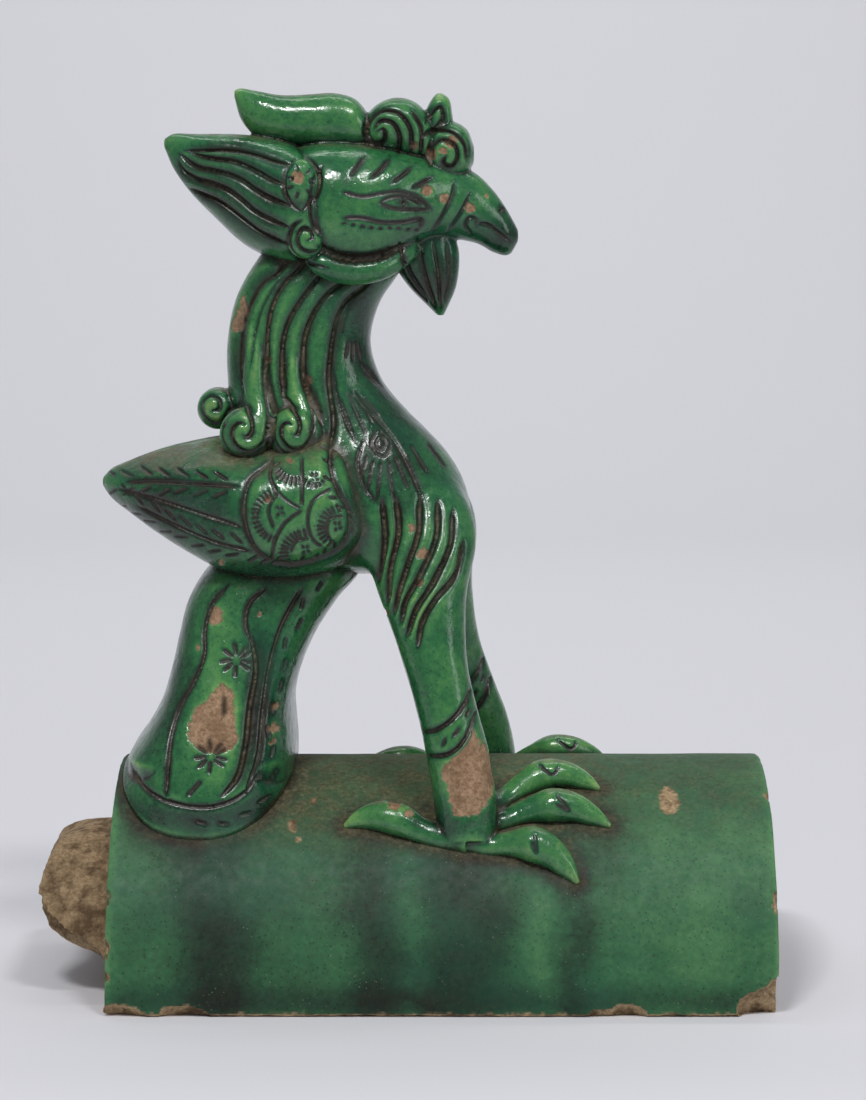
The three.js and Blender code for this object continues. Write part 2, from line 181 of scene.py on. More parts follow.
# A domed button with its face to the side: [x, height, distance from the middle, half width, radius],
# and the upright radius too where it isn't round
def button(row, side=1):
    x, z, middle, half, radius = row[:5]
    tall = row[-1]
    t = np.sin(np.linspace(-math.pi / 2 + 0.02, math.pi / 2 - 0.02, 32))
    size = (1 - np.abs(t) ** 2.4) ** (1 / 2.4)
    turn = np.linspace(0, 2 * np.pi, 48, endpoint=False)[None, :]
    rings = np.stack([x + radius * size[:, None] * np.cos(turn), side * middle + half * t[:, None] + 0 * turn,
                      crest + z + tall * size[:, None] * np.sin(turn)], axis=-1)
    return skinOver(rings)


def bothSides(make):
    return [make(-1), make(1)]


# Overlapping forms become one closed skin
def union(name, forms, voxel, soften):
    points, faces, start = [], [], 0
    for formPoints, formFaces in forms:
        points.append(formPoints)
        faces += [[i + start for i in face] for face in formFaces]
        start += len(formPoints)
    obj = newObject(name, np.concatenate(points), faces)
    remesh = obj.modifiers.new("OneSkin", "REMESH")
    remesh.mode = "VOXEL"
    remesh.voxel_size = voxel * coarse
    remesh.use_smooth_shade = True
    settle(obj)
    edges = edgesOf(obj)
    movePoints(obj, blurred(pointsOf(obj), edges, soften, 0.5))
    return obj


# Geometry Nodes

def addNode(tree, kind, inputs=None, **settings):
    made = tree.nodes.new(kind)
    for name, value in settings.items():
        setattr(made, name, value)
    for key, value in (inputs or {}).items():
        if isinstance(value, bpy.types.NodeSocket):
            tree.links.new(value, made.inputs[key])
        else:
            made.inputs[key].default_value = value
    return made


def geometryTree(name, sizes, objects=()):
    tree = bpy.data.node_groups.new(name, "GeometryNodeTree")
    tree.interface.new_socket("Geometry", in_out="INPUT", socket_type="NodeSocketGeometry")
    for label in objects:
        tree.interface.new_socket(label, in_out="INPUT", socket_type="NodeSocketObject")
    for label, value in sizes.items():
        kind = "NodeSocketInt" if isinstance(value, int) else "NodeSocketFloat"
        tree.interface.new_socket(label, in_out="INPUT", socket_type=kind).default_value = value
    tree.interface.new_socket("Geometry", in_out="OUTPUT", socket_type="NodeSocketGeometry")
    return tree, tree.nodes.new("NodeGroupInput"), tree.nodes.new("NodeGroupOutput")


def useTree(obj, tree, values):
    modifier = obj.modifiers.new(tree.name, "NODES")
    modifier.node_group = tree
    for item in tree.interface.items_tree:
        if item.in_out == "INPUT" and item.name in values:
            modifier[item.identifier] = values[item.name]
    settle(obj)


# Every tree ends alike: real geometry, then the stand-in material
def finishTree(tree, made, geometry, placeholder):
    real = addNode(tree, "GeometryNodeRealizeInstances", {0: geometry})
    finish = addNode(tree, "GeometryNodeSetMaterial", {"Geometry": real.outputs[0], "Material": placeholder})
    tree.links.new(finish.outputs[0], made.inputs[0])
    return tree


# Marks repeated along a drawn path: rays of a fan, petals, ticks of a leaf
def marksTree(placeholder):
    tree, given, made = geometryTree("MarksAlongPath", {
        "Spacing": 2.4, "Length": 3.0, "Gap": 0.8, "Lean": 90.0, "Uneven": 0.12, "Seed": 3})
    curve = addNode(tree, "GeometryNodeMeshToCurve", {"Mesh": given.outputs["Geometry"]})
    even = addNode(tree, "GeometryNodeResampleCurve",
                   {"Curve": curve.outputs[0], "Length": given.outputs["Spacing"]}, mode="LENGTH")
    mark = addNode(tree, "GeometryNodeMeshLine", {"Count": 4, "Start Location": (0, 0, 0), "Offset": (1 / 3, 0, 0)},
                   mode="OFFSET", count_mode="TOTAL")
    along = addNode(tree, "ShaderNodeSeparateXYZ", {0: addNode(tree, "GeometryNodeInputTangent").outputs[0]})
    heading = addNode(tree, "ShaderNodeMath", {0: along.outputs["Y"], 1: along.outputs["X"]}, operation="ARCTAN2")
    lean = addNode(tree, "ShaderNodeMath", {0: given.outputs["Lean"]}, operation="RADIANS")
    chance = addNode(tree, "FunctionNodeRandomValue",
                     {"Min": -1.0, "Max": 1.0, "Seed": given.outputs["Seed"]}, data_type="FLOAT")
    jitter = addNode(tree, "ShaderNodeMath", {0: chance.outputs[1], 1: given.outputs["Uneven"]}, operation="MULTIPLY")
    turn = addNode(tree, "ShaderNodeMath", {0: heading.outputs[0], 1: lean.outputs[0]}, operation="ADD")
    turned = addNode(tree, "ShaderNodeMath", {0: turn.outputs[0], 1: jitter.outputs[0]}, operation="ADD")
    angle = addNode(tree, "ShaderNodeCombineXYZ", {"Z": turned.outputs[0]})
    scale = addNode(tree, "ShaderNodeCombineXYZ", {"X": given.outputs["Length"], "Y": 1.0, "Z": 1.0})
    spread = addNode(tree, "GeometryNodeInstanceOnPoints", {
        "Points": even.outputs[0], "Instance": mark.outputs[0], "Rotation": angle.outputs[0],
        "Scale": scale.outputs[0]})
    step = addNode(tree, "ShaderNodeCombineXYZ", {"X": given.outputs["Gap"]})
    apart = addNode(tree, "GeometryNodeTranslateInstances",
                    {"Instances": spread.outputs[0], "Translation": step.outputs[0]})
    return finishTree(tree, made, apart.outputs[0], placeholder)


# Lines cut into a skin. Each point looks up the nearest line in the flat drawing seen from the side,
# and sinks along its own normal: a sharp bottom between two rounded shoulders.
def carveTree(placeholder):
    tree, given, made = geometryTree("CarveLines", {"Width": 0.9, "Depth": 0.7, "Mark": 1.0}, ["Lines"])
    lines = addNode(tree, "GeometryNodeObjectInfo", {"Object": given.outputs["Lines"]}, transform_space="ORIGINAL")
    drawn = addNode(tree, "GeometryNodeInputNamedAttribute", {"Name": "drawing"}, data_type="FLOAT_VECTOR")
    facing = addNode(tree, "GeometryNodeInputNamedAttribute", {"Name": "facing"}, data_type="FLOAT")
    groove = addNode(tree, "GeometryNodeInputNamedAttribute", {"Name": "groove"}, data_type="FLOAT")
    near = addNode(tree, "GeometryNodeProximity",
                   {0: lines.outputs["Geometry"], "Sample Position": drawn.outputs[0]}, target_element="EDGES")
    which = addNode(tree, "GeometryNodeSampleNearest",
                    {"Geometry": lines.outputs["Geometry"], "Sample Position": drawn.outputs[0]}, domain="POINT")
    weightHere = addNode(tree, "GeometryNodeInputNamedAttribute", {"Name": "weight"}, data_type="FLOAT")
    weight = addNode(tree, "GeometryNodeSampleIndex", {
        "Geometry": lines.outputs["Geometry"], "Value": weightHere.outputs[0], "Index": which.outputs[0]},
        data_type="FLOAT", domain="POINT")
    # the section of a groove is a quarter circle on each side: 1 - sqrt(1 - closeness²)
    share = addNode(tree, "ShaderNodeMath",
                    {0: near.outputs["Distance"], 1: given.outputs["Width"]}, operation="DIVIDE", use_clamp=True)
    closeness = addNode(tree, "ShaderNodeMath", {0: 1.0, 1: share.outputs[0]}, operation="SUBTRACT")
    squared = addNode(tree, "ShaderNodeMath", {0: closeness.outputs[0], 1: 2.0}, operation="POWER")
    rest = addNode(tree, "ShaderNodeMath", {0: 1.0, 1: squared.outputs[0]}, operation="SUBTRACT")
    height = addNode(tree, "ShaderNodeMath", {0: rest.outputs[0]}, operation="SQRT")
    drop = addNode(tree, "ShaderNodeMath", {0: 1.0, 1: height.outputs[0]}, operation="SUBTRACT")
    held = addNode(tree, "ShaderNodeMath", {0: facing.outputs[0], 1: weight.outputs[0]}, operation="MULTIPLY")
    fade = addNode(tree, "ShaderNodeMath", {0: drop.outputs[0], 1: held.outputs[0]}, operation="MULTIPLY")
    deep = addNode(tree, "ShaderNodeMath", {0: fade.outputs[0], 1: given.outputs["Depth"]}, operation="MULTIPLY")
    down = addNode(tree, "ShaderNodeMath", {0: deep.outputs[0], 1: -1.0}, operation="MULTIPLY")
    normal = addNode(tree, "GeometryNodeInputNormal")
    offset = addNode(tree, "ShaderNodeVectorMath",
                     {0: normal.outputs[0], "Scale": down.outputs[0]}, operation="SCALE")
    marked = addNode(tree, "ShaderNodeMath", {0: closeness.outputs[0], 1: held.outputs[0]}, operation="MULTIPLY")
    markedBy = addNode(tree, "ShaderNodeMath", {0: marked.outputs[0], 1: given.outputs["Mark"]}, operation="MULTIPLY")
    most = addNode(tree, "ShaderNodeMath", {0: markedBy.outputs[0], 1: groove.outputs[0]}, operation="MAXIMUM")
    stored = addNode(tree, "GeometryNodeStoreNamedAttribute", {
        "Geometry": given.outputs["Geometry"], "Name": "groove", "Value": most.outputs[0]},
        data_type="FLOAT", domain="POINT")
    moved = addNode(tree, "GeometryNodeSetPosition", {"Geometry": stored.outputs[0], "Offset": offset.outputs[0]})
    return finishTree(tree, made, moved.outputs[0], placeholder)


# The hand's unevenness, and the clay laid bare where glaze has come away from an outlined patch
def wearTree(placeholder):
    tree, given, made = geometryTree("HandAndWear", {
        "Uneven": 0.35, "UnevenSize": 14.0, "PatchDepth": 0.45, "Ragged": 1.6, "RaggedSize": 2.6})
    place = addNode(tree, "GeometryNodeInputPosition")
    normal = addNode(tree, "GeometryNodeInputNormal")
    broad = addNode(tree, "ShaderNodeMath", {0: 1.0, 1: given.outputs["UnevenSize"]}, operation="DIVIDE")
    swell = addNode(tree, "ShaderNodeTexNoise",
                    {"Vector": place.outputs[0], "Scale": broad.outputs[0], "Detail": 2.0, "Roughness": 0.45})
    centred = addNode(tree, "ShaderNodeMath", {0: swell.outputs[0], 1: 0.5}, operation="SUBTRACT")
    lift = addNode(tree, "ShaderNodeMath", {0: centred.outputs[0], 1: given.outputs["Uneven"]}, operation="MULTIPLY")
    fine = addNode(tree, "ShaderNodeMath", {0: 1.0, 1: given.outputs["RaggedSize"]}, operation="DIVIDE")
    torn = addNode(tree, "ShaderNodeTexNoise",
                   {"Vector": place.outputs[0], "Scale": fine.outputs[0], "Detail": 4.0, "Roughness": 0.6})
    tornBy = addNode(tree, "ShaderNodeMath", {0: torn.outputs[0], 1: 0.5}, operation="SUBTRACT")
    tornFar = addNode(tree, "ShaderNodeMath", {0: tornBy.outputs[0], 1: given.outputs["Ragged"]}, operation="MULTIPLY")
    tornWide = addNode(tree, "ShaderNodeMath", {0: tornFar.outputs[0], 1: 3.0}, operation="MULTIPLY")
    inside = addNode(tree, "GeometryNodeInputNamedAttribute", {"Name": "inside"}, data_type="FLOAT")
    edge = addNode(tree, "ShaderNodeMath", {0: inside.outputs[0], 1: tornWide.outputs[0]}, operation="ADD")
    bare = addNode(tree, "ShaderNodeMapRange",
                   {0: edge.outputs[0], 1: -0.25, 2: 0.3, 3: 0.0, 4: 1.0}, interpolation_type="SMOOTHSTEP")
    cut = addNode(tree, "ShaderNodeMath", {0: bare.outputs[0], 1: given.outputs["PatchDepth"]}, operation="MULTIPLY")
    pitted = addNode(tree, "ShaderNodeMath", {0: tornBy.outputs[0], 1: bare.outputs[0]}, operation="MULTIPLY")
    total = addNode(tree, "ShaderNodeMath", {0: lift.outputs[0], 1: cut.outputs[0]}, operation="SUBTRACT")
    totalPits = addNode(tree, "ShaderNodeMath", {0: total.outputs[0], 1: pitted.outputs[0]}, operation="ADD")
    offset = addNode(tree, "ShaderNodeVectorMath",
                     {0: normal.outputs[0], "Scale": totalPits.outputs[0]}, operation="SCALE")
    stored = addNode(tree, "GeometryNodeStoreNamedAttribute", {
        "Geometry": given.outputs["Geometry"], "Name": "bare", "Value": bare.outputs[0]},
        data_type="FLOAT", domain="POINT")
    moved = addNode(tree, "GeometryNodeSetPosition", {"Geometry": stored.outputs[0], "Offset": offset.outputs[0]})
    return finishTree(tree, made, moved.outputs[0], placeholder)


# Half-round tile: a closed section that runs round the outer arc, over one foot, back round the
# inner arc and over the other foot, drawn along the ridge
def halfRoundTree(placeholder):
    tree, given, made = geometryTree("HalfRoundTile", {
        "Radius": 75.0, "Wall": 13.0, "Skirt": 3.0, "Left": -102.5, "Length": 233.0, "Steps": 240})
    circle = addNode(tree, "GeometryNodeCurvePrimitiveCircle", {"Resolution": given.outputs["Steps"], "Radius": 1.0})
    index = addNode(tree, "GeometryNodeInputIndex")
    last = addNode(tree, "ShaderNodeMath", {0: given.outputs["Steps"], 1: 2.0}, operation="DIVIDE")
    share = addNode(tree, "ShaderNodeMath", {0: index.outputs[0], 1: last.outputs[0]}, operation="DIVIDE")
    onInner = addNode(tree, "ShaderNodeMath", {0: share.outputs[0], 1: 0.9999}, operation="GREATER_THAN")
    outerAt = addNode(tree, "ShaderNodeMath", {0: share.outputs[0], 1: onInner.outputs[0]}, operation="SUBTRACT")
    oneStep = addNode(tree, "ShaderNodeMath", {0: 1.0, 1: last.outputs[0]}, operation="DIVIDE")
    reach = addNode(tree, "ShaderNodeMath", {0: 1.0, 1: oneStep.outputs[0]}, operation="SUBTRACT")
    even = addNode(tree, "ShaderNodeMapRange", {
        0: outerAt.outputs[0], 1: oneStep.outputs[0], 2: addNode(
            tree, "ShaderNodeMath", {0: reach.outputs[0], 1: oneStep.outputs[0]}, operation="SUBTRACT").outputs[0],
        3: 0.0, 4: math.pi})
    back = addNode(tree, "ShaderNodeMath", {0: math.pi, 1: even.outputs[0]}, operation="SUBTRACT")
    angle = addNode(tree, "ShaderNodeMix", {0: onInner.outputs[0], 2: even.outputs[0], 3: back.outputs[0]})
    radius = addNode(tree, "ShaderNodeMath", {
        0: given.outputs["Radius"], 1: addNode(tree, "ShaderNodeMath", {
            0: onInner.outputs[0], 1: given.outputs["Wall"]}, operation="MULTIPLY").outputs[0]}, operation="SUBTRACT")
    across = addNode(tree, "ShaderNodeMath", {0: radius.outputs[0], 1: addNode(
        tree, "ShaderNodeMath", {0: angle.outputs[0]}, operation="COSINE").outputs[0]}, operation="MULTIPLY")
    up = addNode(tree, "ShaderNodeMath", {0: radius.outputs[0], 1: addNode(
        tree, "ShaderNodeMath", {0: angle.outputs[0]}, operation="SINE").outputs[0]}, operation="MULTIPLY")
    footed = addNode(tree, "ShaderNodeMapRange", {0: outerAt.outputs[0], 1: 0.0, 2: oneStep.outputs[0], 3: 0.0, 4: 1.0})
    footedEnd = addNode(tree, "ShaderNodeMapRange", {
        0: outerAt.outputs[0], 1: reach.outputs[0], 2: addNode(tree, "ShaderNodeMath", {
            0: reach.outputs[0], 1: oneStep.outputs[0]}, operation="SUBTRACT").outputs[0], 3: 0.0, 4: 1.0})
    offFoot = addNode(tree, "ShaderNodeMath", {0: footed.outputs[0], 1: footedEnd.outputs[0]}, operation="MINIMUM")
    base = addNode(tree, "ShaderNodeMath", {0: offFoot.outputs[0], 1: given.outputs["Skirt"]}, operation="MULTIPLY")
    height = addNode(tree, "ShaderNodeMath", {0: up.outputs[0], 1: base.outputs[0]}, operation="ADD")
    hung = addNode(tree, "ShaderNodeMath", {0: height.outputs[0], 1: -1.0}, operation="MULTIPLY")
    spot = addNode(tree, "ShaderNodeCombineXYZ", {"X": across.outputs[0], "Y": hung.outputs[0]})
    section = addNode(tree, "GeometryNodeSetPosition", {"Geometry": circle.outputs[0], "Position": spot.outputs[0]})
    start = addNode(tree, "ShaderNodeCombineXYZ", {"X": given.outputs["Left"]})
    right = addNode(tree, "ShaderNodeMath", {0: given.outputs["Left"], 1: given.outputs["Length"]}, operation="ADD")
    end = addNode(tree, "ShaderNodeCombineXYZ", {"X": right.outputs[0]})
    ridge = addNode(tree, "GeometryNodeCurvePrimitiveLine", {"Start": start.outputs[0], "End": end.outputs[0]})
    body = addNode(tree, "GeometryNodeCurveToMesh",
                   {"Curve": ridge.outputs[0], "Profile Curve": section.outputs[0], "Fill Caps": True})
    return finishTree(tree, made, body.outputs[0], placeholder)


# Glaze gathers in the crease where one form meets another
def creaseTree(placeholder):
    tree, given, made = geometryTree("GlazeInCreases", {"Reach": 4.0}, ["Neighbour"])
    other = addNode(tree, "GeometryNodeObjectInfo", {"Object": given.outputs["Neighbour"]}, transform_space="ORIGINAL")
    near = addNode(tree, "GeometryNodeProximity", {0: other.outputs["Geometry"]}, target_element="FACES")
    far = addNode(tree, "ShaderNodeMath",
                  {0: near.outputs["Distance"], 1: given.outputs["Reach"]}, operation="DIVIDE", use_clamp=True)
    close = addNode(tree, "ShaderNodeMath", {0: 1.0, 1: far.outputs[0]}, operation="SUBTRACT")
    before = addNode(tree, "GeometryNodeInputNamedAttribute", {"Name": "crease"}, data_type="FLOAT")
    most = addNode(tree, "ShaderNodeMath", {0: close.outputs[0], 1: before.outputs[0]}, operation="MAXIMUM")
    stored = addNode(tree, "GeometryNodeStoreNamedAttribute", {
        "Geometry": given.outputs["Geometry"], "Name": "crease", "Value": most.outputs[0]},
        data_type="FLOAT", domain="POINT")
    return finishTree(tree, made, stored.outputs[0], placeholder)


clayStandIn = bpy.data.materials.new("unpainted_clay_form")  # only while the forms are built, removed at the end
creases = creaseTree(clayStandIn)
marks = marksTree(clayStandIn)
carve = carveTree(clayStandIn)
wear = wearTree(clayStandIn)
halfRound = halfRoundTree(clayStandIn)
print("trees built")


# Drawings: lines seen from the side, [x, height above the crest]

lineStep = 0.7  # between the points of a drawn line


def lineSet(strokes, taper):
    points, edges, weight = [], [], []
    for stroke in strokes:
        run = runThrough(stroke, lineStep) if len(stroke) > 1 else np.array([stroke[0], stroke[0]], float)
        reach = np.concatenate([[0], np.cumsum(np.linalg.norm(np.diff(run, axis=0), axis=1))])
        ends = np.minimum(reach, reach[-1] - reach)
        edges += [(len(points) + i, len(points) + i + 1) for i in range(len(run) - 1)]
        points += [(x, z, 0.0) for x, z in run]
        weight += list(0.25 + 0.75 * np.clip(ends / taper, 0, 1))
    obj = newObject("lines", points, edges=edges)
    keep(obj, "weight", np.array(weight))
    return obj


def marksAlong(path, spacing, length, gap, lean, uneven=0.12, seed=3):
    run = runThrough(path, lineStep)
    points = [(x, z, 0.0) for x, z in run]
    obj = newObject("path", points, edges=[(i, i + 1) for i in range(len(run) - 1)])
    useTree(obj, marks, {
        "Spacing": spacing, "Length": length, "Gap": gap, "Lean": lean, "Uneven": uneven, "Seed": seed})
    ticks = pointsOf(obj)[:, :2].reshape(-1, 4, 2)
    bpy.data.objects.remove(obj)
    return [tick.tolist() for tick in ticks]


def arcOf(x, z, radius, start=0.0, end=360.0, tall=None):
    steps = max(6, int(abs(end - start) / 14))
    turns = np.radians(np.linspace(start, end, steps + 1))
    return np.stack([x + radius * np.cos(turns), z + (tall or radius) * np.sin(turns)], axis=1).tolist()


# How far inside an outline each drawn place is, in mm; less than nothing outside it
def insideOutline(places, outline):
    corners = runThrough(outline + outline[:1], 1.0)
    ends = np.roll(corners, -1, axis=0)
    x, z = places[:, 0], places[:, 1]
    odd = np.zeros(len(places), bool)
    nearest = np.full(len(places), 1e9)
    for (ax, az), (bx, bz) in zip(corners, ends):
        if az != bz:
            odd ^= ((az > z) != (bz > z)) & (x < (bx - ax) * (z - az) / (bz - az) + ax)
        length = max((bx - ax) ** 2 + (bz - az) ** 2, 1e-9)
        t = np.clip(((x - ax) * (bx - ax) + (z - az) * (bz - az)) / length, 0, 1)
        nearest = np.minimum(nearest, (x - ax - t * (bx - ax)) ** 2 + (z - az - t * (bz - az)) ** 2)
    return np.where(odd, 1, -1) * np.sqrt(nearest)


# Before a piece is cut: where each point lies in the drawing, and how squarely it faces the side
def prepare(obj, shift=None):
    places = pointsOf(obj)
    normals = normalsOf(obj)
    x = places[:, 0] - (shift(places) if shift else 0)
    drawn = np.stack([x, places[:, 2] - crest, 0 * x], axis=1)
    keep(obj, "drawing", drawn)
    keep(obj, "facing", ramp(0.12, 0.45, np.abs(normals[:, 1])))
    keep(obj, "groove", np.zeros(len(places)))
    return drawn


def engrave(obj, strokes, width, depth, mark=1.0, taper=2.0):
    lines = lineSet(strokes, taper)
    useTree(obj, carve, {"Lines": lines, "Width": width, "Depth": depth, "Mark": mark})
    bpy.data.objects.remove(lines)


# A tool drawn through soft clay: a wide soft trough with a sharper line along its bottom, that is
# nearly half as deep again
def scoop(obj, strokes, wide, deep, taper=4.0, line=1.1):
    engrave(obj, strokes, wide, deep, mark=0.75, taper=taper)
    engrave(obj, strokes, line, 0.45 * deep + 0.2, mark=0.9, taper=min(taper, 3.0))


# Bare clay: outlined patches and small chips, [x, height above the crest, radius], on the near side,
# and a few chips on the far side
def weather(obj, drawn, patches=(), chips=(), farChips=(), uneven=0.35, ragged=1.6):
    places = pointsOf(obj)
    inside = np.full(len(places), farOutside)
    for outline in patches:
        inside = np.maximum(inside, np.where(places[:, 1] < 0, insideOutline(drawn, outline), farOutside))
    for side, rows in ((-1, chips), (1, farChips)):
        for x, z, radius in rows:
            away = np.hypot(drawn[:, 0] - x, drawn[:, 1] - z)
            inside = np.maximum(inside, np.where(side * places[:, 1] > 3, radius - away, farOutside))
    keep(obj, "inside", inside)
    useTree(obj, wear, {"Uneven": uneven, "Ragged": ragged})


# How hollow the skin is, near and further round each point, in mm: glaze runs thick in hollows. The
# halo is a soft shadow of the cut lines.
def readHollows(obj):
    places, normals, edges = pointsOf(obj), normalsOf(obj), edgesOf(obj)
    soft = blurred(places, edges, 14)
    softer = blurred(soft, edges, 70)
    keep(obj, "hollow", ((soft - places) * normals).sum(1))
    keep(obj, "deepHollow", ((softer - places) * normals).sum(1))
    keep(obj, "halo", blurred(recall(obj, "groove")[:, None], edges, 26)[:, 0])


# Fewer faces, and only the attributes that the materials read
def thin(obj, triangles):
    have = 2 * len(obj.data.polygons)
    if have > triangles:
        fewer = obj.modifiers.new("Fewer", "DECIMATE")
        fewer.ratio = triangles / have
        fewer.use_collapse_triangulate = True
        settle(obj)
    for name in ("drawing", "facing", "inside"):
        layer = obj.data.attributes.get(name)
        if layer:
            obj.data.attributes.remove(layer)
    obj.data.polygons.foreach_set("use_smooth", [True] * len(obj.data.polygons))
    print(obj.name, len(obj.data.polygons), "faces")


# A coil of clay laid on the side of the bird: [x, height, distance from the middle, radius]
def coil(rows, side):
    x, z, middle, radius = runThrough(rows, 0.8, place=2).T
    along = np.stack([np.gradient(x), np.gradient(z)], axis=1)
    along /= np.linalg.norm(along, axis=1)[:, None]
    turn = np.linspace(0, 2 * np.pi, 24, endpoint=False)[None, :]
    across = radius[:, None] * np.cos(turn)
    rings = np.stack([x[:, None] - along[:, 1:2] * across, side * middle[:, None] + radius[:, None] * np.sin(turn),
                      crest + z[:, None] + along[:, :1] * across], axis=-1)
    return skinOver(rings)


# Body: the thick neck with its mane, the trunk, and a leg on each flank of the tile

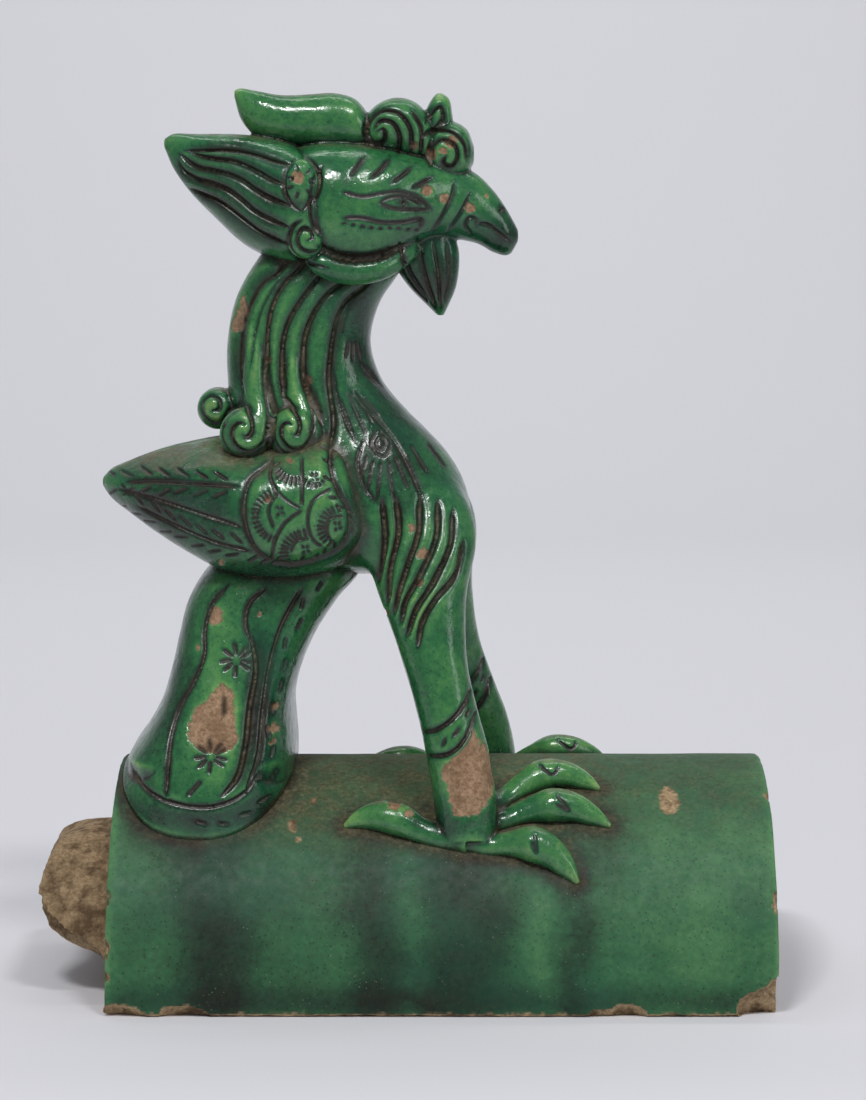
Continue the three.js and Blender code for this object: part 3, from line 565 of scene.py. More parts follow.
body = {
    "voxel": 0.5, "soften": 5, "thighRounds": 220, "triangles": 196000, "soil": (0.80, 0.99, 0.7),
    "trunk": [
        [68, -20, -2, 0, 8, 2], [71, -34, 12, 0, 22, 2.1], [76, -46, 21, 0, 31, 2.2], [83, -51, 25.5, 0, 35, 2.3],
        [91, -54, 25, 0, 36, 2.3], [101, -57, 22.5, 0, 34.5, 2.3], [111, -59, 17, 0, 31.5, 2.3],
        [119, -61, 9.5, 0, 28, 2.3], [128, -62, 0.5, 0, 25, 2.4], [138, -63, -7.5, 0, 23, 2.5],
        [152, -63, -11.5, 0, 21.5, 2.5], [165, -60.5, -8.5, 0, 21, 2.4], [176, -55.5, -1.5, 0, 19.5, 2.3],
        [186, -48, 4, 0, 16, 2.2], [192, -38, 0, 0, 9, 2]],
    "curls": [[-55, 119.8, 22.5, 9, 9.7], [-37.4, 119.8, 24, 9, 9.9]],
    "backCurl": [-66.5, 127.6, 0, 11, 7.6],
    "locks": [  # the locks that run down the neck and hook round in the curls
        [[-51.6, 158, 14, 4.4], [-51.6, 146, 17, 4.8], [-51.2, 134, 20.4, 4.8], [-49.8, 124, 25.6, 4.3],
         [-51.2, 117.8, 28, 3.8], [-54.8, 116.4, 28.6, 3.5], [-58, 119, 28.6, 3.2], [-57.2, 122.4, 28.2, 3]],
        [[-39, 158, 15.5, 4.2], [-38.6, 146, 18, 4.6], [-37.4, 134.5, 21.2, 4.6], [-34, 126, 26, 4.1],
         [-33.2, 120.4, 29, 3.6], [-35.4, 117, 29.8, 3.4], [-38.8, 117, 30, 3.2], [-41, 119.6, 29.8, 3],
         [-40, 122.6, 29.2, 2.9]]],
    "mane": [
        [[-40, 184], [-44.3, 177.1], [-49.6, 173.6], [-53.7, 167.1], [-56.4, 160.1], [-57.7, 151.2], [-57.8, 141.8],
         [-57.2, 134.1]],
        [[-33, 184], [-36.5, 178.5], [-41.7, 173.5], [-45.5, 166.9], [-47.6, 158], [-48, 148], [-48.2, 141],
         [-47.3, 133], [-46.4, 126.8], [-46.8, 121.5], [-48.8, 116.5], [-52.5, 113.8], [-56.6, 114.6], [-59.2, 117.2],
         [-60.2, 120.6], [-59.2, 123.4], [-57.2, 124.7], [-55, 123.8]],
        [[-24, 182], [-29.8, 175], [-35.1, 168], [-39.6, 160.7], [-41.8, 154.5], [-42.6, 146.8], [-42.6, 139.7],
         [-42, 133]],
        [[-14, 182], [-19.5, 174.5], [-26.5, 169], [-31.4, 162], [-34, 155.5], [-35, 147.5], [-34.5, 140.2],
         [-32.6, 134], [-30.7, 128], [-30.8, 122.8], [-32.2, 118.3], [-35, 115.2], [-39, 115], [-41.7, 117.4],
         [-42.9, 120.6], [-42.4, 123.5], [-40.7, 124.8], [-38.8, 124.1]],
        [[-8, 176], [-13.5, 171], [-19.4, 166.5], [-22.4, 161], [-24.2, 154], [-25.2, 146.8], [-25.7, 139.8],
         [-25, 132.7], [-24.2, 126.8], [-24.4, 121], [-26.2, 116.2], [-29, 113.3]]],
    "softLocks": [[[-41.5, 176.5], [-46.3, 170.5], [-49.8, 163.8], [-51.9, 156], [-53.2, 147.2], [-54.6, 139.6]]],
    "curlLines": [
        [[-56.2, 131], [-54, 128.3], [-52.6, 124.4], [-52.9, 121], [-54.4, 119.4], [-55.7, 120.2]],
        [[-42, 133], [-39.3, 130.2], [-36.6, 126.6], [-35.9, 122.6], [-37, 120.2], [-38.5, 120.6]]],
    "curlRims": [
        [[-57.2, 134.1], [-58.5, 129.5], [-62, 127], [-63.8, 123], [-63.4, 117.3], [-60.5, 112.8], [-56, 110.5],
         [-50.3, 111], [-46.2, 114.3]],
        [[-44.6, 128], [-45.8, 123.3], [-44.9, 117.4], [-41.7, 113.2], [-36.9, 111.8], [-31.6, 112.1]]],
    "backSpiral": [[-62.5, 123.5], [-67.4, 122.2], [-71.6, 125.6], [-72, 130.4], [-68.6, 133], [-65.4, 131.2],
                   [-65.6, 127.8], [-68.2, 127.2]],
    "breastLong": [
        [[-14.9, 144.9], [-7.8, 136.6], [4, 126], [14.6, 116.5], [20, 108]],
        [[-18.3, 134.6], [-12.4, 128.7], [-3, 118.1], [4, 105.2], [7.5, 97]],
        [[-24.2, 142.7], [-23, 133.3], [-19.5, 123.9], [-16, 116.8]],
        [[-13.5, 118.3], [-15.5, 110.2], [-13.6, 103.1], [-8.4, 96.1]]],
    "breast": [
        [[-8.6, 121.5], [-4, 117.3], [-6.3, 112.3], [-10.9, 116.4], [-8.6, 121.5]],
        [[-8.1, 119.2], [-5.8, 117.2], [-7.2, 114.6], [-9.2, 116.4], [-8.1, 119.2]],
        [[-10, 111.3], [-12.5, 99.3]], [[-7.5, 110.9], [-8.6, 97.4]], [[-4.9, 111.3], [-2.6, 96.5]],
        [[-2.6, 112.3], [2, 101.6]], [[-12.3, 113.2], [-14.4, 104]],
        [[-19.3, 134.5], [-12.8, 120.1]], [[-17, 135], [-10.1, 123.4]], [[-14.2, 133.1], [-7.7, 125.7]],
        [[-21.8, 132.6], [-17.2, 120.1]], [[-18.9, 152.8], [-20.3, 145.9]], [[-17.5, 152.4], [-17.5, 145]],
        [[-16.1, 152.4], [-14.7, 145]], [[-13.8, 141.3], [-8.7, 136.6]], [[-12.4, 142.6], [-5.9, 134.7]],
        [[6, 122], [13, 114]], [[9, 116], [15.5, 107.5]], [[3, 116], [9, 106]], [[-20.5, 161], [-21.5, 155]]],
    "flutes": [  # of the thigh
        [[-6.8, 97.5], [-6, 84.5], [-9.5, 67]], [[-1.8, 98], [-1, 88], [-4.5, 73], [-5.5, 61]],
        [[6.5, 98], [6, 87], [1.5, 74], [-2, 63], [-3, 58]],
        [[12.7, 96.5], [12.5, 86], [6.5, 72], [0.5, 61], [-0.5, 55]],
        [[18.2, 94], [17.5, 83], [11.5, 70], [4.5, 59], [1.5, 50.5]],
        [[21.8, 83], [19.5, 72], [11.5, 63], [7, 55], [5.5, 47]]],
    "poursAndShading": [  # where the glaze colour is darker or lighter: [x, height, half length, half height, strength]; partly glaze lying thicker or thinner, partly painted shade on the neck front under the head and at the feet
        [-2, 122, 15, 32, 1.2], [-14, 160, 9, 20, 1.4], [-48, 152, 11, 26, -0.9], [3, 74, 13, 22, -0.35],
        [6, 22, 5, 30, 0.6], [20, -12, 22, 6, 1.4], [-50, 118, 16, 6, -0.2], [21, 50, 6, 40, 0.2]],
    "neckLoss": [[-56.2, 168.7], [-55.3, 165.2], [-56.5, 160.4], [-58.3, 155.7], [-60.6, 155.1], [-60.6, 159.3],
                 [-58.8, 163.4], [-57.4, 167.5]],
    "chips": [[-33.1, 138.6, 1.5], [-33.3, 136.8, 1.0], [7.5, 79, 1.9], [6.4, 69.5, 1.5], [3.5, 87.6, 1.2],
              [-5.5, 58, 1.1], [-47.3, 146, 0.7]],
    "farChips": [[-40, 150, 1.4], [4, 84, 2.2], [14, 24, 2.4], [-28, 140, 1.2]],
}
legs = {
    "stations": [  # [height, back, front, share of the spread, half width, square]
        [108, -4, 12, 0.28, 8, 2], [99, -11, 22, 0.36, 13, 2.2], [88, -14, 27, 0.47, 14.5, 2.2],
        [77, -13, 26.8, 0.57, 14.5, 2.2], [66.5, -9.5, 23.4, 0.66, 13.5, 2.2], [54, -4.5, 22.4, 0.74, 12, 2.2],
        [38, 1, 23.4, 0.83, 11, 2.2], [20.5, 6, 27.6, 0.91, 10.6, 2.2], [8, 8.6, 31, 0.96, 10.6, 2.2],
        [-5, 10.8, 33, 0.99, 11, 2.2], [-20, 12.5, 34, 1, 11.5, 2.2]],
    "spread": 46.0,
    "toes": {  # [forward, outwards, lift, half width, half height] from the ankle, along and around the tile
        "outer": [[-4, 4, 0, 8, 6.6], [7, 9, -0.4, 4.6, 3.6], [14, 9.6, 1.2, 5, 4.2], [21, 10.5, 2.6, 6.6, 5.8],
                  [27.5, 13.5, 2.4, 5.8, 5.2], [33, 18.5, 1, 4, 3.6], [37.5, 24.5, 0, 0.9, 1.0]],
        "middle": [[0, 0, 0, 8, 7], [12, -2, -0.4, 4.4, 3.4], [20, -4.6, 1.2, 5, 4.2], [28, -5.8, 2.8, 6.6, 5.8],
                   [36, -5.4, 2.6, 5.8, 5.2], [43, -2.6, 1.2, 4, 3.7], [49.5, 1.5, 0, 0.9, 1.0]],
        "inner": [[2, -4, 0, 8, 6.6], [12, -13, -0.4, 4.4, 3.4], [19, -19, 1.2, 5, 4.2], [26, -23, 2.6, 6.4, 5.6],
                  [34, -23.6, 2.6, 5.6, 5], [41, -21.4, 1.2, 3.8, 3.5], [46.5, -18, 0, 0.9, 1.0]],
        "rear": [[-2, 5, 0, 8, 6.6], [-11, 5.4, -0.2, 5.2, 4.2], [-17, 4, 1, 5, 4.2], [-25, 0.5, 2.6, 6.2, 5.4],
                 [-33, -1.6, 2.2, 5.6, 4.8], [-39, -1, 1, 3.8, 3.4], [-44.5, 1.5, 0, 0.9, 1.0]]},
    "ankleX": 24.0,
    "rearTurn": 0.3,
    "farLead": 9.0, "leadFrom": 90.0, "toeLead": 0.6,  # how far the far foot stands ahead, from this height down
    "cuffs": [[[27.5, 35], [25.8, 33.4], [22, 27.1], [16.4, 21.4], [9.5, 17.6], [7.6, 17.1]],
              [[28.5, 27], [26.4, 23.9], [22.7, 16.3], [17.7, 11.2], [12, 9.3], [9.4, 9]]],
    "slots": [[[20.4, 19.5], [17.9, 16.1]], [[15.4, 16.1], [14.2, 12.8]], [[24, 25.6], [22.4, 22.6]]],
    "knuckles": [[[48.3, 2.7], [54, -0.6], [55.7, 2]], [[54.3, -5.1], [58.4, -10.5], [53.7, -8.1]],
                 [[46.3, -16.2], [46.7, -22.6], [45.1, -18.8]]],
    "loss": [[25.2, 17.9], [30.2, 10.3], [32.4, 5.3], [32.1, -3.6], [27, -9.8], [17.6, -10.2], [16.4, -2.4],
             [14.5, 5.3], [18.3, 9.7], [22, 12.2]],
    "chips": [[-2.5, -7.5, 2.2], [-8, -6, 1.5], [2.5, -11, 1.4], [70.5, -9.5, 1.1]],
}


def toeForm(side, stations):
    ankle = math.asin(legs["spread"] / tile["radius"])
    rows = runThrough(stations, 0.8, place=3)
    turn = np.where(rows[:, 0] < 0, legs["rearTurn"] * rows[:, 0], 0) if side > 0 else 0
    angle = ankle + (rows[:, 1] + turn) / tile["radius"]
    outward = np.stack([0 * angle, side * np.sin(angle), np.cos(angle)], axis=1)
    centre = outward * (tile["radius"] + rows[:, 2:3])
    centre[:, 2] += tile["skirt"]
    centre[:, 0] = legs["ankleX"] + (legs["toeLead"] * legs["farLead"] if side > 0 else 0) + rows[:, 0]
    along = np.gradient(centre, axis=0)
    along /= np.linalg.norm(along, axis=1)[:, None]
    across = np.cross(outward, along)
    turnAll = np.linspace(0, 2 * np.pi, 40, endpoint=False)
    rings = (centre[:, None] + across[:, None] * (np.cos(turnAll)[None, :, None] * rows[:, 3, None, None])
             + outward[:, None] * (np.sin(turnAll)[None, :, None] * rows[:, 4, None, None]))
    return skinOver(rings)


def legForm(side):
    rows = []
    for z, back, front, spread, half, square in legs["stations"]:
        ahead = legs["farLead"] * min(max(1 - z / legs["leadFrom"], 0), 1) if side > 0 else 0
        rows.append([z, back + ahead, front + ahead, side * spread * legs["spread"], half, square])
    return upright(rows, sides=72)


def legShift(places):
    height = places[:, 2] - crest
    return np.where(places[:, 1] > 0, legs["farLead"] * np.clip(1 - height / legs["leadFrom"], 0, 1), 0)


forms = [upright(body["trunk"])] + bothSides(legForm)
for curl in body["curls"]:
    forms += bothSides(lambda side: button(curl, side))
forms.append(button(body["backCurl"]))
for lock in body["locks"]:
    forms += bothSides(lambda side: coil(lock, side))
for stations in legs["toes"].values():
    forms += bothSides(lambda side: toeForm(side, stations))
bodyPiece = union("phoenix_body", forms, body["voxel"], body["soften"])
places = pointsOf(bodyPiece)
drawnHeight = places[:, 2] - crest
thighTop = ramp(62, 74, drawnHeight) * ramp(122, 108, drawnHeight) * ramp(-22, -12, places[:, 0])
melted = blurred(places, edgesOf(bodyPiece), body["thighRounds"])  # the thigh grows out of the trunk, no seam
places += thighTop[:, None] * (melted - places)
movePoints(bodyPiece, places)
drawn = prepare(bodyPiece, legShift)
scoop(bodyPiece, body["mane"], 3.9, 2.1, taper=5)
scoop(bodyPiece, body["curlLines"] + [body["backSpiral"]], 2.4, 1.6, taper=2.5)
engrave(bodyPiece, body["curlRims"], 2.6, 1.3, mark=0.75, taper=4)
engrave(bodyPiece, body["softLocks"], 2.6, 0.8, mark=0.3, taper=8)
scoop(bodyPiece, body["flutes"], 3.1, 2.3, taper=4, line=1.7)
engrave(bodyPiece, body["breastLong"], 2.1, 0.9, mark=0.6, taper=5)
scoop(bodyPiece, legs["cuffs"], 2.4, 1.3)
engrave(bodyPiece, body["breast"], 1.1, 0.45, mark=0.9, taper=1.5)
engrave(bodyPiece, legs["slots"] + legs["knuckles"], 1.3, 1.1, taper=1.2)
weather(bodyPiece, drawn, patches=[body["neckLoss"], legs["loss"]], chips=body["chips"] + legs["chips"],
        farChips=body["farChips"])
readHollows(bodyPiece)
print("body carved")

# Wings: folded on the back, two roofs that slope down from the middle and meet in one point
wings = {
    "voxel": 0.44, "soften": 5, "frontRounds": 220, "triangles": 150000, "soil": (0.62, 0.9, 0.7),
    "stations": [  # [x, low, high, half width, square, fall of the roof to its edge, draw-in of the edge]
        [-108.5, 99.5, 102.5, 2, 2, 0.4, 0], [-106, 96, 105.2, 7, 2.2, 1.5, 0], [-98, 89.8, 109.6, 17, 2.7, 5, 0],
        [-88, 83.2, 113.4, 25.5, 3.2, 7.6, 0], [-75, 75.6, 116.4, 33, 3.6, 6.8, 0.5],
        [-65, 70.6, 118, 37.5, 3.6, 5.2, 3], [-57, 68, 118.6, 40.4, 3.4, 4, 8],
        [-48, 66.8, 119.5, 42.4, 3.2, 2.5, 11], [-38, 66.8, 121, 43.6, 3.1, 1.5, 12.5],
        [-28, 68.6, 124, 43.4, 3, 1, 14], [-21, 70.2, 122, 41.4, 2.7, 0.5, 13], [-17, 71.8, 112, 39.2, 2.4, 0, 8],
        [-14, 73.8, 104, 37, 2.2, 0, 4], [-11.6, 76.6, 97.5, 34.6, 2.1, 0, 1], [-10, 79.6, 92, 32, 2, 0, 0],
        [-9, 82.4, 88, 29.5, 2, 0, 0]],
    "panel": [[-46.4, 111.3], [-53.1, 105.1], [-55.3, 96.9], [-54.3, 87.6], [-50.7, 80.3], [-45.6, 76], [-37.4, 75.1],
              [-29.1, 77.2], [-21.4, 81.4], [-18, 88.1], [-18.3, 94.3], [-22.3, 102], [-24.9, 110.3], [-24.3, 120.5],
              [-36, 119]],
    "panelOut": 1.5, "hollowBehind": 1.1, "seamDeep": 1.8,
    "borders": [
        [[-45.5, 112.6], [-46.4, 111.3], [-53.1, 105.1], [-55.3, 96.9], [-54.3, 87.6], [-50.7, 80.3], [-45.6, 76.2]],
        [[-24.3, 120.5], [-24.9, 110.3], [-22.3, 102], [-18.3, 94.3], [-18, 88.1], [-21.4, 81.4], [-29.1, 77.2],
         [-37.4, 75.1], [-45.6, 75.7]]],
    "veins": [
        [[-98.8, 102.1], [-87, 103.2], [-72.5, 103.1], [-57.1, 102.6]],
        [[-94.3, 93.8], [-81.9, 88.6], [-66.5, 82.9], [-52.5, 79.8]]],
    "midrib": [[-101.5, 99.5], [-87, 96.9], [-71.6, 92.8], [-56.1, 88.6]],
    "arcs": [
        [[-45.4, 111.8], [-45.9, 106.1], [-41.4, 99.4], [-35.2, 95.3]],
        [[-42.9, 101.5], [-46.3, 95.3], [-44.7, 88.6]],
        [[-34.7, 95], [-40.9, 90.1], [-44.5, 82.9], [-45.6, 76.2]],
        [[-38.9, 79.8], [-36.8, 83.9], [-32.4, 85]],
        [[-24.4, 102.5], [-30.6, 98.4], [-32.7, 91.2], [-30.9, 84.5], [-27.6, 81.4]],
        [[-20.3, 92.7], [-25, 91.7], [-26, 87], [-23.8, 82.2]]],
    "drop": [[-35.1, 112.5], [-34.7, 104], [-34.7, 97]],
    "dropEnd": [[-34.8, 98.6], [-34.8, 96.4]],
    "stars": [[-42.6, 94.6], [-30.5, 106.1], [-33.7, 80.8], [-22.4, 89.1]],
    "fans": [  # centre, radius, start and end of the arc that the rays stand on, their length
        [-42.6, 92.7, 12.2, 105, 255, 3.4], [-37.7, 111.8, 10.6, 200, 285, 3.4], [-33.7, 79.3, 11.6, 95, 200, 3.8],
        [-21.4, 88.6, 10.6, 100, 235, 3.6], [-30.5, 108, 7.4, 230, 330, 2.6]],
    "margin": [[-21.8, 122.5], [-20.4, 111], [-18.3, 101], [-13.6, 93], [-13.4, 86.5], [-16.8, 80.6], [-25, 74.3],
               [-35.5, 71.2], [-48, 71.4], [-58, 73.6]],
    # the darker patches at the wing's rear and along its lower edge are painted shade, the lighter one on the bulging
    # panel is painted light
    "poursAndShading": [[-84, 94, 23, 17, 1.6], [-36, 93, 16, 17, -0.8], [-52, 70, 26, 7, 1.6], [-13, 92, 6, 16, 0.9]],
    "chips": [[-46.8, 98.8, 1.2], [-39.5, 112, 0.9], [-64, 75.5, 1.0]],
    "farChips": [[-50, 90, 1.8], [-86, 92, 1.5]],
}


def wingForm():
    x, low, high, half, square, fall, drawIn = runThrough(wings["stations"], 1.2, place=3).T[:, :, None]
    u, v = roundings(square[:, 0], 128)
    top = np.clip(u, 0, 1)
    y = v * (half - drawIn * top ** 2)
    z = (low + high) / 2 + u * (high - low) / 2 - fall * top * np.abs(v) ** 1.4
    return skinOver(np.stack([x + 0 * u, y, crest + z], axis=-1))


wingPiece = union("phoenix_wings", [wingForm()], wings["voxel"], wings["soften"])
places = pointsOf(wingPiece)
front = ramp(-26, -14, places[:, 0])[:, None]  # the front edge lies soft against the breast
movePoints(wingPiece, places + front * (blurred(places, edgesOf(wingPiece), wings["frontRounds"]) - places))
drawn = prepare(wingPiece)
places, facing = pointsOf(wingPiece), recall(wingPiece, "facing")
swell = wings["panelOut"] * ramp(-1.2, 4.5, insideOutline(drawn, wings["panel"])) * facing
level = np.exp(-((places[:, 2] - crest - 92) / 11) ** 2)
hollowed = wings["hollowBehind"] * ramp(-58, -66, places[:, 0]) * level * facing
places[:, 1] += np.sign(places[:, 1]) * (swell - hollowed)
seam = np.exp(-(places[:, 1] / 2.6) ** 2) * ramp(crest + 106, crest + 112, places[:, 2])
seam *= ramp(-58, -64, places[:, 0])
places[:, 2] -= wings["seamDeep"] * seam  # the two wings meet along the back
movePoints(wingPiece, places)
scoop(wingPiece, wings["borders"], 2.3, 1.1)
scoop(wingPiece, wings["veins"] + [wings["midrib"]], 1.9, 0.9)
engrave(wingPiece, wings["arcs"] + [wings["drop"]], 1.15, 0.85, taper=1.0)
fine = []
for x, z, radius, start, end, length in wings["fans"]:
    fine += marksAlong(arcOf(x, z, radius, start, end), spacing=2.1, length=length, gap=0.6, lean=90, uneven=0.06)
for x, z in wings["stars"]:
    fine += marksAlong(arcOf(x, z, 0.5), spacing=0.79, length=1.9, gap=0.0, lean=-90, uneven=0.3)
engrave(wingPiece, fine, 1.15, 0.85, taper=0.8)
fine = []
for vein in wings["veins"]:
    for lean, seed in ((152, 5), (-152, 6)):
        fine += marksAlong(vein, spacing=6.2, length=5.6, gap=0.8, lean=lean, seed=seed)
fine += marksAlong(wings["margin"], spacing=4.7, length=4.3, gap=-2.1, lean=50, seed=8)
fine.append(wings["dropEnd"])
engrave(wingPiece, fine, 1.05, 0.8, taper=1.0)
weather(wingPiece, drawn, chips=wings["chips"], farChips=wings["farChips"])
readHollows(wingPiece)
print("wings carved")

# Head: skull and beak, swept feathers, comb and beard

head = {
    "voxel": 0.4, "soften": 5, "triangles": 190000, "soil": (0.9, 1.0, 0.5),
    "skull": [
        [-46, 186, 216, 17, 2.2], [-38, 178.5, 221, 24, 2.3], [-28, 175, 223, 27, 2.4], [-15, 173.5, 222.4, 27.5, 2.4],
        [-5, 177, 221, 25, 2.4], [3, 184, 219, 21.5, 2.4], [10, 188, 217.5, 17, 2.3], [18, 188.3, 215.5, 13, 2.2],
        [26, 187, 212, 10.5, 2.1], [33, 183.5, 205.3, 8.3, 2], [38.5, 182.8, 197.2, 6.2, 2],
        [41.5, 187.5, 191.5, 2.5, 2]],
    "plumes": [
        [-85.2, 221, 224, 1.8, 2], [-82, 213.5, 225.8, 5, 2.3], [-75, 204, 225.8, 9.5, 2.6],
        [-66, 195, 225.8, 15.5, 2.8], [-56, 186, 225.5, 20.5, 2.8], [-46, 181, 224, 25.5, 2.8],
        [-38, 178.5, 221.5, 29, 2.7],
        [-33, 179, 218, 29.3, 2.6], [-30, 181.5, 213, 27, 2.4], [-28.6, 184, 209, 24, 2.2]],
    "comb": [
        [[-60, 238.5, 241.3, 1.6, 2], [-57.5, 230.5, 242, 4.5, 2.1], [-52, 224.5, 241, 7.5, 2.2],
         [-44, 222, 239.6, 9.8, 2.2], [-33, 220.5, 239.8, 11, 2.2], [-24, 220, 240.2, 11.2, 2.2],
         [-17, 220, 238.3, 10.8, 2.2], [-11.5, 220, 232, 8, 2.2]],
        [[-13.6, 223, 229, 6, 2], [-11.5, 220, 234, 11, 2.3], [-7, 219, 237.4, 13.5, 2.4], [-1, 218, 238.6, 14, 2.4],
         [4, 217, 237.4, 13.5, 2.4], [8.5, 216, 233.5, 11.5, 2.3], [11.5, 214, 227, 7, 2]],
        [[8, 212, 222, 8, 2], [12.5, 209.5, 228.5, 12, 2.3], [18, 209, 230.2, 12.5, 2.4], [22.5, 211, 228, 11, 2.3],
         [25.6, 215.5, 221.5, 5, 2]],
        [[7.4, 224, 230, 3, 2], [9.5, 224, 236.5, 6, 2.1], [13.2, 224, 240.4, 7.5, 2.1], [16, 224, 239, 6.5, 2.1],
         [18, 225, 232, 3.5, 2]]],
    "beard": [
        [192, -4, 18, 0, 8, 2.2], [184, -4.5, 20.3, 0, 9.5, 2.2], [177.5, -2, 20.3, 0, 9.5, 2.2],
        [171, 2.5, 19.2, 0, 8.5, 2.2], [165, 8.5, 16.7, 0, 6, 2.2], [161, 12.6, 14.8, 0, 1.8, 2]],
    "ear": [-35.2, 208.3, 26.5, 5, 5.8, 8.3],
    "jawCurl": [-34, 188, 24.5, 5, 6.2],
    "jawRoll": [[-33, 184.6, 19, 3.0], [-29.6, 181, 21, 4.2], [-24, 178.3, 21.6, 4.7], [-16, 177.2, 21.6, 4.8],
                [-8, 178.6, 19.6, 4.6], [-1, 182.4, 15.5, 4.2], [5, 187.6, 10, 3.4]],
    "feathers": [
        [[-77.3, 219.7], [-71, 220], [-63.5, 220.3], [-57.5, 219.8], [-52.2, 218.7], [-46.8, 216.9], [-39, 214.6]],
        [[-76, 219.4], [-71.2, 217.8], [-66, 216.9], [-60, 216.2], [-55.2, 214.5], [-50, 211.8], [-45.9, 209.5],
         [-41.3, 207.6]],
        [[-79.3, 218.6], [-76.7, 216.2], [-73.4, 214.1], [-67, 212.6], [-61.6, 211.4], [-57, 209.5], [-52.2, 206.2],
         [-47, 203.2], [-39.2, 200.3]],
        [[-80.2, 216.5], [-78.4, 212.7], [-74.5, 210.1], [-67, 207.9], [-62, 206], [-57.4, 202.8], [-52.8, 198.8],
         [-47, 195.6], [-39.5, 192.6]],
        [[-76, 206.2], [-70.2, 203.6], [-66, 202], [-61.5, 199.2], [-56, 195], [-50.6, 191], [-45, 188.4],
         [-40, 186.6]]],
    "cheekEdge": [[-28.2, 214], [-30.4, 208], [-31.6, 203.4], [-31.4, 196], [-28.8, 189.6]],
    "underCheek": [[-29.4, 186.2], [-23, 183], [-14.8, 181.9], [-6.4, 183.2], [0.5, 186.4]],
    "jawCurlRim": [[-35, 195.4], [-38.5, 192.6], [-39.6, 188.4], [-38.2, 183.8], [-35, 180.8], [-30.4, 179.4],
                   [-26, 178.6]],
    "jawSpiral": [[-29, 184.6], [-32.8, 184.2], [-35.9, 186.2], [-36.4, 190], [-34.4, 192.4], [-31.8, 191.6],
                  [-31.2, 189], [-33, 188.2]],
    "earRims": [[[-32.8, 217], [-28.9, 211.5], [-29.2, 205.6], [-32.8, 200.3], [-35.2, 198.4]],
                [[-37.6, 216.4], [-40.8, 211.5], [-41, 205], [-38.2, 200.4], [-35.2, 198.4]]],
    "lids": [
        [[-20.5, 205], [-14, 203.5], [-7, 204.5], [-1, 205], [5, 203.5], [10.5, 199]],
        [[-8, 201], [-3, 199.5], [3.5, 199], [10, 199]],
        [[-8, 201], [-4.5, 203], [0, 203.5], [4, 202.5], [7.5, 200.5]],
        [[-20.5, 196], [-14, 196], [-7, 194.5], [0, 194.5], [7, 195], [6, 192.5]]],
    "beakLines": [
        [[18.5, 208.5], [18, 204.5], [15.5, 199], [13, 194.5], [10.5, 191]],
        [[24, 204.5], [22, 200], [20, 196.5], [16, 191]],
        [[24.5, 190], [22.5, 193.5], [24, 196], [26, 195.5], [26.5, 193]],
        [[27, 194], [30.5, 193.5], [34, 191], [38.5, 187.5]]],
    "brows": [[[-13.2, 217.2], [-15.6, 213.8], [-18, 210.6]], [[-4.4, 216.6], [-7.4, 213], [-11, 209.8]],
              [[3.4, 213.8], [0, 210.8], [-3.6, 208.4]], [[11, 210.4], [7.6, 208.4], [3.8, 206.6]]],
    "dashes": [[-19.5, 194.2], [-10, 192.8], [-2, 192.4], [6, 191.8]],
    "fringe": [[-27, 181.6], [-22, 179.4], [-14, 178.4], [-7, 179.6], [-1, 183]],
    "pupil": [[-0.2, 201.4], [1.4, 201.2]],
    "nostril": [[34.9, 199.6], [36, 198.2]],
    "earHole": [[-38.8, 209.6], [-38.2, 209.2]],
    "earStar": [-35.2, 208.6, 1.7, 2.6],
    "combLines": [
        [[3.2, 219], [3, 227], [-1.2, 232.9], [-7.3, 233.8], [-11.7, 230.1], [-12.6, 224.8], [-10, 221.8],
         [-6.5, 223.1], [-6.9, 227], [-8.7, 226.6]],
        [[-1.2, 219], [-1.2, 225.7], [-3.8, 229.7], [-7.8, 230.1], [-10, 227.5]],
        [[7, 219], [6.8, 228], [3.4, 234]],
        [[10.3, 214.5], [10.3, 220.9], [13.8, 223.6], [18.4, 222], [19.7, 217.4], [17.3, 214], [14.5, 215.4],
         [15.6, 218]],
        [[6.3, 218.6], [8, 225], [12.4, 227.2], [18, 226.2], [22.4, 221.6], [23, 216]],
        [[8.6, 229.3], [10.8, 233.7], [13.4, 235.4], [14.6, 231], [12, 227.8]]],
    "beardFlutes": [[[-0.8, 187], [2.5, 176], [9, 166]], [[5.5, 188], [8, 176], [11.8, 164]],
                    [[11, 188], [13, 176], [13.6, 164]], [[16, 187], [17, 176], [15, 166]]],
    # the beak tip and beard are darker glaze, the beard with painted shade too, and the dark band under the jaw is
    # painted shade
    "poursAndShading": [[-62, 205, 20, 15, 0.6], [38, 189, 9, 9, 2.4], [12, 173, 12, 15, 2.0], [-14, 198, 15, 9, -0.25],
              [-18, 177, 18, 6, 0.8], [-38, 222, 26, 3, 0.5], [-80, 222, 6, 5, -0.4]],
    "chips": [[8.8, 205.8, 2.0], [15.3, 202.7, 1.8], [24.1, 199.7, 1.9], [17.3, 222.8, 2.1], [10.5, 218.6, 1.9],
              [4.3, 221.2, 1.5], [30.2, 203.6, 0.8], [-36.2, 210, 2.1], [14.6, 219.4, 1.4]],
    "farChips": [[-30, 204, 1.8], [14, 216, 2.0], [28, 196, 1.4]],
}
forms = [lengthwise(head["skull"]), lengthwise(head["plumes"]), upright(head["beard"])]
forms += [lengthwise(lobe, sides=72, spacing=1.0) for lobe in head["comb"]]
forms += bothSides(lambda side: button(head["ear"], side))
forms += bothSides(lambda side: button(head["jawCurl"], side))
forms += bothSides(lambda side: coil(head["jawRoll"], side))
headPiece = union("phoenix_head", forms, head["voxel"], head["soften"])
drawn = prepare(headPiece)
scoop(headPiece, head["feathers"], 3.4, 2.0, taper=6, line=1.2)
